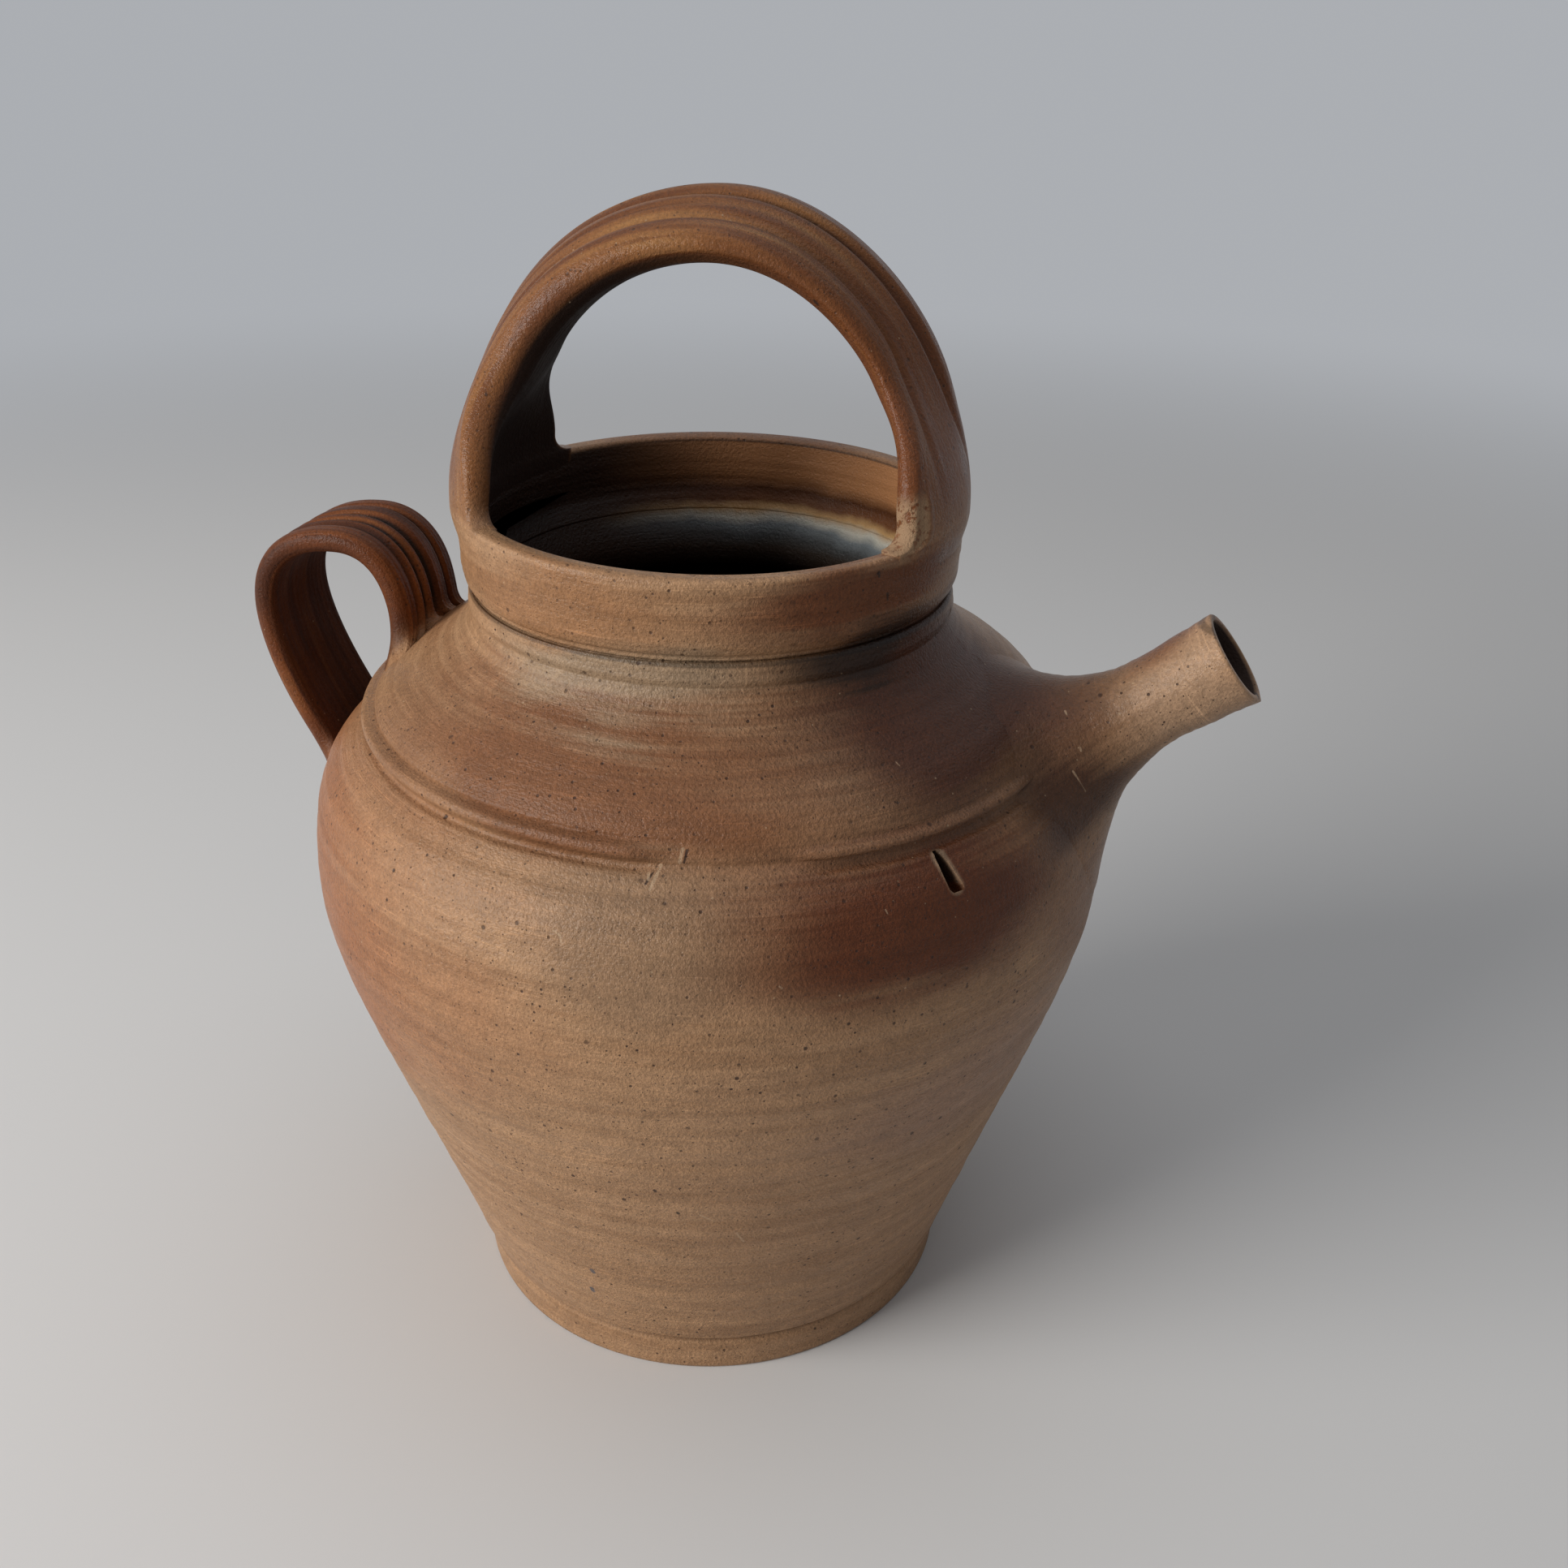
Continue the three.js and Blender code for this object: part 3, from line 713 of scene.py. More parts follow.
    rings = np.array(rings)
    rings[:, :, 2] += 0.25 * np.sin(rings[:, :, 0] / 9) * smoothStep(rings[:, :, 2], 225, 245)
    turn = math.radians(b["turn"])
    x, y = rings[:, :, 0].copy(), rings[:, :, 1].copy()
    rings[:, :, 0] = x * math.cos(turn) - y * math.sin(turn)
    rings[:, :, 1] = x * math.sin(turn) + y * math.cos(turn)
    runs = lengthsAlong(rings.mean(1))
    marks["run"] = np.broadcast_to(runs[:, None], rings.shape[:2])
    return makeLoft("bailStrap", rings, {key: np.array(values) for key, values in marks.items()})


# side handle: a ribbed loop opposite the spout

loop = dict(
    topRise=6.3, upperRootDrop=22, lowerRootDrop=55, overhang=17.3, width=30, thickness=4.6,
    ribRise=1.3, rootSpread=3, stops=90, step=0.55, fillet=4.5,
    # where across, how deep and how wide, from the front edge at -1
    grooves=((-0.56, 0.8, 0.07), (-0.27, 1.35, 0.07), (0.06, 1.9, 0.085), (0.55, 1.5, 0.055)),
)


def makeLoop():
    p = loop
    middle = p["thickness"] / 2 + 1.3
    top = jar["neckHeight"] + p["topRise"] - middle
    reach = jar["bellyRadius"] + p["overhang"] - middle
    upperHeight = jar["neckHeight"] - p["upperRootDrop"]
    lowerHeight = jar["neckHeight"] - p["lowerRootDrop"]
    upperRoot = seatRadius(upperHeight)
    lowerRoot = seatRadius(lowerHeight)
    crest = blend(upperRoot, reach, 0.43)
    widest = blend(lowerHeight, top, 0.69)
    sunk = jar["wall"] * 0.6
    path = joined(
        cubic(
            (upperRoot + 1, upperHeight - sunk),
            (upperRoot - 1, blend(upperHeight, top, 0.65)),
            (blend(upperRoot, crest, 0.35), top),
            (crest, top),
        ),
        cubic(
            (crest, top),
            (blend(crest, reach, 0.62), top),
            (reach, blend(widest, top, 0.66)),
            (reach, widest),
        ),
        cubic(
            (reach, widest),
            (reach, blend(widest, lowerHeight, 0.28)),
            (blend(lowerRoot, reach, 0.5), blend(widest, lowerHeight, 0.7)),
            (lowerRoot - jar["wall"] / 2, lowerHeight - jar["wall"] / 2),
        ),
    )
    path = evenly(path, p["step"])
    ahead = np.gradient(path, axis=0)
    ahead = ahead / np.linalg.norm(ahead, axis=1, keepdims=True)
    along = lengthsAlong(path)
    total = along[-1]
    stops = strapStops(p["stops"])
    rings = []
    marks = {key: [] for key in ("groove", "inner", "across", "run")}
    for k, (x, z) in enumerate(path):
        share = along[k] / total
        nearRoot = max(0.0, 1 - min(share, 1 - share) * 8)
        halfWidth = p["width"] / 2 + p["rootSpread"] * nearRoot ** 2 + 0.35 * math.sin(share * 9)

        def groovesAt(across, scale=1.0):
            wander = 0.025 * math.sin(share * 5)
            return sum(
                depth * bump(across - place - wander, width * scale)
                for place, depth, width in p["grooves"]
            )

        def outer(across):
            crown = p["ribRise"] * (1 - 0.25 * across ** 2)
            return p["thickness"] / 2 + crown - groovesAt(across) + 0.05 * np.sin(across * 60)

        def inner(across):
            return p["thickness"] / 2 - 0.25 * (1 - across ** 2) + 0.04 * np.sin(across * 47 + 1)

        across, lift, isOuter = strapSection(stops, halfWidth, outer, inner, 2.6)
        normal = np.array([ahead[k, 1], 0, ahead[k, 0]])
        centre = np.array([-x, 0, z])
        rings.append(centre + lift[:, None] * normal + (across * halfWidth)[:, None] * np.array([0, 1.0, 0]))
        marks["groove"].append(np.where(isOuter, np.clip(groovesAt(across, 0.9) / 1.3, 0, 1), 0))
        marks["inner"].append(np.where(isOuter, 0, smoothStep(np.abs(across), 1.0, 0.9)))
        marks["across"].append(across)
        marks["run"].append(np.full(len(across), along[k]))
    rings, joint = luteOnto(np.array(rings), p["fillet"])
    marks = {key: np.array(values) for key, values in marks.items()}
    return makeLoft("sideLoop", rings, {**marks, "joint": joint})


body = makeJar()
print("jar turned")
ring = makeCollar()
print("collar turned")
trumpet = makeSpout()
strap = makeBail()
sideLoop = makeLoop()
print("spout and handles made")
cutAway(body, [spoutHoleCutter(), gashCutter()])
print("spout hole and gash cut")


# shader helpers

def put(tree, kind, inputs=None, **settings):
    node = tree.nodes.new(kind)
    for key, value in settings.items():
        setattr(node, key, value)
    for key, value in (inputs or {}).items():
        if isinstance(value, bpy.types.NodeSocket):
            tree.links.new(value, node.inputs[key])
        else:
            node.inputs[key].default_value = value
    return node


def calc(tree, operation, *values, clamp=False):
    settings = dict(operation=operation, use_clamp=clamp)
    return put(tree, "ShaderNodeMath", dict(enumerate(values)), **settings).outputs[0]


def times(tree, first, second):
    return calc(tree, "MULTIPLY", first, second)


def plus(tree, first, second):
    return calc(tree, "ADD", first, second)


def minus(tree, first, second):
    return calc(tree, "SUBTRACT", first, second)


def vector(tree, operation, *values):
    node = put(tree, "ShaderNodeVectorMath", dict(enumerate(values)), operation=operation)
    return node.outputs["Value" if operation in ("LENGTH", "DOT_PRODUCT", "DISTANCE") else "Vector"]


def between(tree, value, low, high, toLow=0.0, toHigh=1.0):
    inputs = {"Value": value, "From Min": low, "From Max": high, "To Min": toLow, "To Max": toHigh}
    return put(tree, "ShaderNodeMapRange", inputs, interpolation_type="SMOOTHSTEP").outputs["Result"]


def mixColour(tree, amount, first, second, blendType="MIX"):
    node = put(tree, "ShaderNodeMix", data_type="RGBA", blend_type=blendType)
    for index, value in ((0, amount), (6, first), (7, second)):
        if isinstance(value, bpy.types.NodeSocket):
            tree.links.new(value, node.inputs[index])
        elif index == 0:
            node.inputs[0].default_value = value
        else:
            node.inputs[index].default_value = (*value, 1) if len(value) == 3 else value
    return node.outputs[2]


def noiseAt(tree, place, scale, detail=2.0, roughness=0.5):
    inputs = {"Vector": place, "Scale": scale, "Detail": detail, "Roughness": roughness}
    return put(tree, "ShaderNodeTexNoise", inputs).outputs["Fac"]


def newGroup(name, inputs, outputs):
    tree = bpy.data.node_groups.new(name, "ShaderNodeTree")
    kinds = {"colour": "NodeSocketColor", "value": "NodeSocketFloat", "vector": "NodeSocketVector"}
    for label, kind, start in inputs:
        socket = tree.interface.new_socket(label, in_out="INPUT", socket_type=kinds[kind])
        socket.default_value = start
    for label, kind in outputs:
        tree.interface.new_socket(label, in_out="OUTPUT", socket_type=kinds[kind])
    return tree, tree.nodes.new("NodeGroupInput").outputs, tree.nodes.new("NodeGroupOutput").inputs


# Links values to a group's outputs, or to a shader's inputs
def give(tree, sockets, values):
    for label, value in values.items():
        tree.links.new(value, sockets[label])


def useGroup(tree, group, **values):
    node = tree.nodes.new("ShaderNodeGroup")
    node.node_tree = group
    for key, value in values.items():
        label = key[0].upper() + key[1:]
        if isinstance(value, bpy.types.NodeSocket):
            tree.links.new(value, node.inputs[label])
        else:
            node.inputs[label].default_value = value
    return node.outputs


def separate(tree, place):
    node = put(tree, "ShaderNodeSeparateXYZ", {0: place})
    return node.outputs


def combine(tree, x, y, z=0.0):
    return put(tree, "ShaderNodeCombineXYZ", {0: x, 1: y, 2: z}).outputs[0]


# Noise drawn out round the wheel
def stretchedNoise(tree, place, along, around, up, detail=2.0, roughness=0.6):
    x, y, _ = separate(tree, place)[:3]
    stretched = combine(tree, times(tree, x, around), times(tree, y, around), times(tree, along, up))
    return noiseAt(tree, stretched, 1.0, detail, roughness)


# Noise as a swing to both sides of nothing
def swing(tree, noise, amount):
    return times(tree, minus(tree, noise, 0.5), amount)


# Makes a colour lighter or darker
def shade(tree, colour, amount):
    node = put(tree, "ShaderNodeVectorMath", {0: colour, "Scale": amount}, operation="SCALE")
    return node.outputs["Vector"]


# Where a point of clay is: its place and height in millimetres, and along, which grows steadily
# up the wall and in over the shoulder
def makeClayPlace():
    tree, _, out = newGroup("clayPlace", [], [("Place", "vector"), ("Height", "value"), ("Along", "value")])
    coordinates = tree.nodes.new("ShaderNodeTexCoord").outputs["Object"]
    place = vector(tree, "MULTIPLY", coordinates, (1000, 1000, 1000))
    x, y, z = separate(tree, place)[:3]
    radius = vector(tree, "LENGTH", combine(tree, x, y))
    along = minus(tree, z, times(tree, radius, 0.8))
    give(tree, out, {"Place": place, "Height": z, "Along": along})
    return tree


clayPlace = makeClayPlace()


# One soft patch of kiln colour: 1 at its middle, 0 outside its reach
def makeFlashPatch():
    tree, given, out = newGroup(
        "flashPatch",
        [
            ("Place", "vector", (0, 0, 0)),
            ("Middle", "vector", (0, 0, 0)),
            ("Reach", "vector", (40, 40, 40)),
            ("Strength", "value", 1.0),
        ],
        [("Mask", "value")],
    )
    offset = vector(tree, "DIVIDE", vector(tree, "SUBTRACT", given["Place"], given["Middle"]), given["Reach"])
    mask = between(tree, vector(tree, "LENGTH", offset), 1.0, 0.35)
    give(tree, out, {"Mask": times(tree, mask, given["Strength"])})
    return tree


flashPatch = makeFlashPatch()

# Kiln colours of the outside, a few of which also hold painted shade or a painted sheen. A flash is its
# azimuth and height, how far it reaches along the wall and up it, its strength, its colour and, for one that
# lies off the jar's wall, its distance from the axis.
kiln = dict(
    clay=(0.335, 0.192, 0.102),
    darkClay=(0.300, 0.165, 0.084),
    flashes=[
        (-152, 122, 98, 54, 0.92, (0.255, 0.094, 0.034)),
        (-96, 170, 88, 20, 0.92, (0.162, 0.064, 0.026)),
        # pale olive kiln flash under the collar, lightened further by a painted sheen
        (-94, 187, 40, 12, 0.85, (0.265, 0.185, 0.116)),
        (-84, 146, 32, 20, 0.8, (0.230, 0.136, 0.076)),
        (-45, 145, 64, 27, 0.97, (0.094, 0.025, 0.008)),
        # dark glaze on the shoulder's far right, darkened further with painted shade
        (-22, 176, 60, 24, 0.96, (0.060, 0.017, 0.007)),
        # dark glaze and painted shade in the crease under the collar's right side
        (-40, 188, 27, 9, 0.9, (0.020, 0.009, 0.005)),
        (-10, 124, 34, 24, 0.8, (0.215, 0.104, 0.052)),
        (-35, 96, 52, 22, 0.7, (0.290, 0.168, 0.108)),
        (-112, 203, 46, 14, 0.8, (0.240, 0.112, 0.047), 58),
        (-36, 204, 50, 15, 0.95, (0.125, 0.038, 0.012), 58),
        (90, 207, 64, 15, 0.85, (0.180, 0.080, 0.038), 57),
        (-4, 177, 23, 21, 0.85, (0.345, 0.215, 0.130), 113),
        (5, 188, 22, 11, 0.9, (0.165, 0.058, 0.022), 102),
        (-9, 154, 27, 17, 0.9, (0.048, 0.017, 0.008), 88),
        (60, 140, 75, 38, 0.8, (0.200, 0.085, 0.035)),
        (165, 165, 66, 32, 0.75, (0.240, 0.100, 0.042)),
    ],
    # how far noise moves the flashes, in millimetres, and how much it changes their tones
    sway=40, lift=36, streakLift=14, streakTones=(0.94, 1.06), mottledTones=(0.92, 1.08),
    glossy=(40, 150),    # the clay is duller low down
    # painted shade: dark lines in the crease under the collar and in the foot's groove: height, width and how
    # much light is left
    shadeLines=((191.7, 0.9, 0.5), (10.6, 1.4, 0.75)),
)


def makeKilnColour():
    tree, _, out = newGroup("kilnColour", [], [("Colour", "colour"), ("Gloss", "value")])
    where = useGroup(tree, clayPlace)
    place = where["Place"]
    x, y, z = separate(tree, place)[:3]
    slow = stretchedNoise(tree, place, where["Along"], 0.014, 0.03)
    streak = stretchedNoise(tree, place, where["Along"], 0.02, 0.35, 3.0)
    sway = swing(tree, noiseAt(tree, place, 0.02, 2.0, 0.5), kiln["sway"])
    lift = plus(tree, swing(tree, slow, kiln["lift"]), swing(tree, streak, kiln["streakLift"]))
    drifted = combine(tree, plus(tree, x, sway), minus(tree, y, sway), plus(tree, z, lift))
    colour = mixColour(tree, between(tree, streak, 0.3, 0.6), kiln["darkClay"], kiln["clay"])
    for azimuth, height, wide, tall, strength, flash, *ownRadius in kiln["flashes"]:
        turn = math.radians(azimuth)
        radius = ownRadius[0] if ownRadius else seatRadius(height)
        middle = (radius * math.cos(turn), radius * math.sin(turn), height)
        patch = dict(place=drifted, middle=middle, reach=(wide, wide, tall), strength=strength)
        colour = mixColour(tree, useGroup(tree, flashPatch, **patch)["Mask"], colour, flash)
    colour = shade(tree, colour, between(tree, streak, 0.3, 0.7, *kiln["streakTones"]))
    mottled = noiseAt(tree, place, 0.3, 3.0, 0.6)
    colour = shade(tree, colour, between(tree, mottled, 0.3, 0.7, *kiln["mottledTones"]))
    # painted shade in the crease under the collar and in the foot's groove
    for middle, width, left in kiln["shadeLines"]:
        away = calc(tree, "ABSOLUTE", minus(tree, z, middle))
        colour = shade(tree, colour, between(tree, away, width * 0.3, width, left, 1.0))
    give(tree, out, {"Colour": colour, "Gloss": between(tree, where["Height"], *kiln["glossy"])})
    return tree


kilnColour = makeKilnColour()

# Salt glaze close up: pebbled skin, iron specks and grit. Specks are Voronoi cells: scale, radius and share.
salt = dict(
    pebbleScale=1.35, fineScale=3.2,
    specks=((0.45, 0.21, 0.80), (0.80, 0.20, 0.62), (0.166, 0.12, 0.85)),
    iron=(0.035, 0.016, 0.010), ironShare=0.9,
    grit=(0.52, 0.38, 0.24), gritSpecks=(0.5, 0.15, 0.2), gritShare=0.4,
    pebbleToneAndShade=(0.86, 1.14), fineTones=(0.92, 1.08), fineShare=0.4, speckDepth=0.4, bump=0.0003,
)


def makeSaltSkin():
    tree, given, out = newGroup(
        "saltSkin",
        [("Colour", "colour", (0.5, 0.5, 0.5, 1)), ("Speckle", "value", 1.0), ("Pebble", "value", 1.0)],
        [("Colour", "colour"), ("Height", "value")],
    )
    place = useGroup(tree, clayPlace)["Place"]
    pebble = noiseAt(tree, place, salt["pebbleScale"], 2.0, 0.55)
    fine = noiseAt(tree, place, salt["fineScale"], 2.0, 0.5)
    patchy = between(tree, noiseAt(tree, place, 0.05, 2.0, 0.5), 0.3, 0.65, 0.55, 1.0)

    def spots(scale, radius, share):
        cells = put(tree, "ShaderNodeTexVoronoi", {"Vector": place, "Scale": scale, "Randomness": 1.0})
        chance, size, _ = separate(tree, cells.outputs["Color"])[:3]
        grow = between(tree, size, 0, 1, radius * 0.45, radius)
        spot = between(tree, cells.outputs["Distance"], grow, times(tree, grow, 0.5))
        return times(tree, between(tree, chance, share, share - 0.05), spot)

    first, second, third = (spots(*settings) for settings in salt["specks"])
    speck = calc(tree, "MAXIMUM", calc(tree, "MAXIMUM", first, second), third)
    speck = times(tree, times(tree, speck, patchy), given["Speckle"])
    # the pebbles' own tone, plus painted light on their tops and painted shade in their pits
    colour = shade(tree, given["Colour"], between(tree, pebble, 0.28, 0.72, *salt["pebbleToneAndShade"]))
    colour = shade(tree, colour, between(tree, fine, 0.3, 0.7, *salt["fineTones"]))
    grit = times(tree, spots(*salt["gritSpecks"]), salt["gritShare"])
    colour = mixColour(tree, grit, colour, salt["grit"])
    colour = mixColour(tree, times(tree, speck, salt["ironShare"]), colour, salt["iron"])
    skin = plus(tree, pebble, times(tree, fine, salt["fineShare"]))
    skin = times(tree, skin, given["Pebble"])
    height = minus(tree, skin, times(tree, speck, salt["speckDepth"]))
    give(tree, out, {"Colour": colour, "Height": height})
    return tree


saltSkin = makeSaltSkin()


# Fine scratches of the wheel and the potter's fingers, across the given way along the piece
def makeWheelMarks():
    outputs = [("Height", "value"), ("Scratch", "value")]
    tree, given, out = newGroup("wheelMarks", [("Along", "value", 0.0)], outputs)
    place = useGroup(tree, clayPlace)["Place"]
    broad = stretchedNoise(tree, place, given["Along"], 0.03, 0.5, 3.0)
    thin = stretchedNoise(tree, place, given["Along"], 0.05, 1.7)
    patchy = between(tree, noiseAt(tree, place, 0.045, 2.0, 0.5), 0.40, 0.60)
    scratch = times(tree, between(tree, thin, 0.58, 0.70), patchy)
    height = plus(tree, times(tree, broad, 0.7), times(tree, thin, 0.6))
    height = minus(tree, height, times(tree, scratch, 0.35))
    give(tree, out, {"Height": height, "Scratch": scratch})
    return tree


wheelMarks = makeWheelMarks()


# A straight scar from one point to another: 1 on its line, 0 beyond its width
def makeScar():
    tree, given, out = newGroup(
        "scar",
        [
            ("Place", "vector", (0, 0, 0)),
            ("Start", "vector", (0, 0, 0)),
            ("End", "vector", (0, 0, 1)),
            ("Width", "value", 1.0),
        ],
        [("Mask", "value")],
    )
    run = vector(tree, "SUBTRACT", given["End"], given["Start"])
    offset = vector(tree, "SUBTRACT", given["Place"], given["Start"])
    reached = vector(tree, "DOT_PRODUCT", offset, run)
    share = calc(tree, "DIVIDE", reached, vector(tree, "DOT_PRODUCT", run, run), clamp=True)
    away = vector(tree, "DISTANCE", offset, shade(tree, run, share))
    mask = between(tree, away, given["Width"], times(tree, given["Width"], 0.5))
    give(tree, out, {"Mask": mask})
    return tree


scar = makeScar()

# Nicks, burrs, cracks and drips, each a look, half a width and the points of its line in millimetres.
# On the jar the points are an azimuth and a height, with how far under the wall they lie.
marks = dict(
    pale=(0.470, 0.330, 0.210), dark=(0.030, 0.015, 0.010), blue=(0.060, 0.066, 0.080),
    amount=dict(pale=0.48, dark=0.88, blue=0.8),
    jar=[
        # the two nicks below are painted: pale lines as painted highlights and dark lines beside them as
        # painted shadows
        ("pale", 0.50, [(-78.2, 162.4), (-78.6, 159.8)]),
        ("dark", 0.35, [(-77.6, 162.2), (-78.0, 159.8)]),
        ("pale", 0.50, [(-81.2, 159.0), (-82.3, 155.8)]),
        ("dark", 0.35, [(-81.8, 158.8), (-83.0, 156.4)]),
        ("pale", 0.40, [(-82.9, 158.9), (-82.7, 157.0)]),
        ("pale", 0.32, [(-93.9, 147.6), (-93.0, 146.9), (-92.7, 145.6)]),
        ("pale", 0.40, [(-76.2, 69.1), (-73.9, 66.2)]),
        ("pale", 0.40, [(-70.3, 61.0), (-69.1, 57.3)]),
        ("pale", 0.32, [(-68.0, 97.4), (-69.5, 91.9), (-67.9, 83.9)]),
        ("pale", 0.26, [(-42.1, 171.9), (-41.8, 171.2)]),
        ("pale", 0.26, [(-51.7, 150.2), (-51.5, 149.4)]),
        ("pale", 0.40, [(-66.1, 138.7), (-65.8, 138.2)]),
        ("pale", 0.30, [(-34.1, 124.4), (-26.9, 121.8)]),
        ("blue", 0.85, [(-97.9, 37.2), (-97.8, 36.3)]),
        ("blue", 0.85, [(-99.6, 27.8), (-99.5, 26.8)]),
        ("dark", 0.60, [(-82.7, 78.3), (-82.6, 77.8)]),
        ("dark", 0.60, [(-79.6, 69.8), (-79.5, 69.4)]),
        ("pale", 2.50, [(-41.3, 155.6), (-40.6, 150.7)]),
        # painted shade: the deep inside of the gash is coloured nearly black
        ("dark", 2.60, [(-41.2, 154.6, -3.0), (-40.6, 151.2, -3.0)]),
    ],
    collar=[
        ("dark", 0.50, [(46.2, -36.0, 208.6), (46.4, -35.7, 207.6)]),
        ("dark", 0.55, [(47.9, -33.6, 203.2), (48.2, -33.2, 201.6)]),
        ("dark", 0.45, [(48.7, -32.5, 198.6), (49.0, -32.0, 197.4)]),
        ("dark", 0.70, [(-52.2, -25.4, 210.6), (-53.0, -25.8, 208.8)]),
        ("dark", 0.35, [(-43.4, -34.3, 211.0), (-43.0, -35.2, 206.0)]),
    ],
    spout=[
        ("pale", 0.32, [(86.0, -10.1, 171.0), (90.7, -15.2, 163.9)]),
        ("pale", 0.32, [(89.5, -17.7, 159.8), (92.6, -17.1, 154.9)]),
        ("pale", 0.30, [(78.7, -21.8, 162.4), (88.1, -21.1, 154.2)]),
        ("dark", 1.30, [(127.2, -2.3, 176.3), (126.6, -1.2, 176.6)]),
    ],
    bail=[
        ("dark", 0.90, [(53.7, -22.1, 213.3), (54.9, -19.4, 210.0)]),
        ("dark", 0.70, [(53.0, -24.0, 210.0), (52.8, -24.4, 208.8)]),
        ("dark", 0.80, [(26.0, -11.7, 258.1), (26.3, -11.6, 257.6)]),
        ("pale", 0.50, [(8.6, -14.4, 267.3), (9.8, -13.9, 266.4)]),
        ("dark", 0.60, [(-43.0, -26.3, 237.8), (-42.8, -26.6, 236.9)]),
        ("dark", 0.40, [(-43.4, -34.3, 223.9), (-42.1, -35.8, 215.5)]),
    ],
)


def addMarks(tree, place, colour, marked, onWall=False):
    for look, width, line in marked:
        points = [wallPoint(*point) for point in line] if onWall else line
        for start, end in zip(points, points[1:]):
            mask = useGroup(tree, scar, place=place, start=tuple(start), end=tuple(end), width=width)["Mask"]
            colour = mixColour(tree, times(tree, mask, marks["amount"][look]), colour, marks[look])
    return colour


def newMaterial(name):
    material = bpy.data.materials.new(name)
    material.use_nodes = True
    tree = material.node_tree
    return material, tree, tree.nodes["Principled BSDF"]


def attribute(tree, name):
    return put(tree, "ShaderNodeAttribute", attribute_name=name).outputs["Fac"]


def bumpOf(tree, height):
    return put(tree, "ShaderNodeBump", {"Height": height, "Distance": salt["bump"]}).outputs["Normal"]


# The glaze that gathered inside: light brown, smoke, amber, white and blue-grey, then painted shade, nearly
# black, deep down
inside = dict(
    stops=[
        (150, (0.014, 0.007, 0.004)),
        (179, (0.018, 0.010, 0.007)),
        (183.5, (0.050, 0.034, 0.024)),
        (186.4, (0.075, 0.078, 0.078)),
        (188.8, (0.190, 0.215, 0.225)),
        (190.6, (0.600, 0.570, 0.480)),
        (192.6, (0.520, 0.310, 0.130)),
        (194.4, (0.160, 0.060, 0.022)),
        (197.2, (0.092, 0.032, 0.012)),
        (201.2, (0.440, 0.200, 0.084)),
        (211, (0.460, 0.215, 0.095)),
    ],
    smokeAndShade=(0.022, 0.010, 0.006),
    wander=5.0, towards=(0.75, 0.35), smokeAndShadeTo=(-22, 24),    # the side towards the side handle is darkened with smoke and painted shade
)


def insideColour(tree, where):
    low, high = inside["stops"][0][0], inside["stops"][-1][0]
    wander = swing(tree, noiseAt(tree, where["Place"], 0.06, 3.0, 0.6), inside["wander"])
    height = plus(tree, where["Height"], wander)
    share = calc(tree, "DIVIDE", minus(tree, height, low), high - low)
    ramp = put(tree, "ShaderNodeValToRGB", {0: share})
    points = ramp.color_ramp.elements
    points[0].position, points[0].color = 0, (*inside["stops"][0][1], 1)
    points[1].position, points[1].color = 1, (*inside["stops"][-1][1], 1)
    for stop, colour in inside["stops"][1:-1]:
        point = points.new((stop - low) / (high - low))
        point.color = (*colour, 1)
    x, y, _ = separate(tree, where["Place"])[:3]
    alongX, alongY = inside["towards"]
    towards = plus(tree, times(tree, x, alongX), times(tree, y, alongY))
    # smoke and painted shade on the side towards the side handle
    return mixColour(tree, between(tree, towards, *inside["smokeAndShadeTo"]), inside["smokeAndShade"], ramp.outputs[0])


# How rough, speckled and pebbled the clay of each piece is
clay = dict(
    jar=dict(roughness=0.34, speckle=1.0, pebble=1.0),
    collar=dict(roughness=0.34, speckle=0.9, pebble=0.9),
    spout=dict(roughness=0.32, speckle=1.1, pebble=0.9),
    specular=0.21, rougherBelow=0.12, cloudy=0.25, scratchTone=1.28, rimSmokeAndShade=0.6, wheelShare=0.6,
    boreRougher=0.4,
)


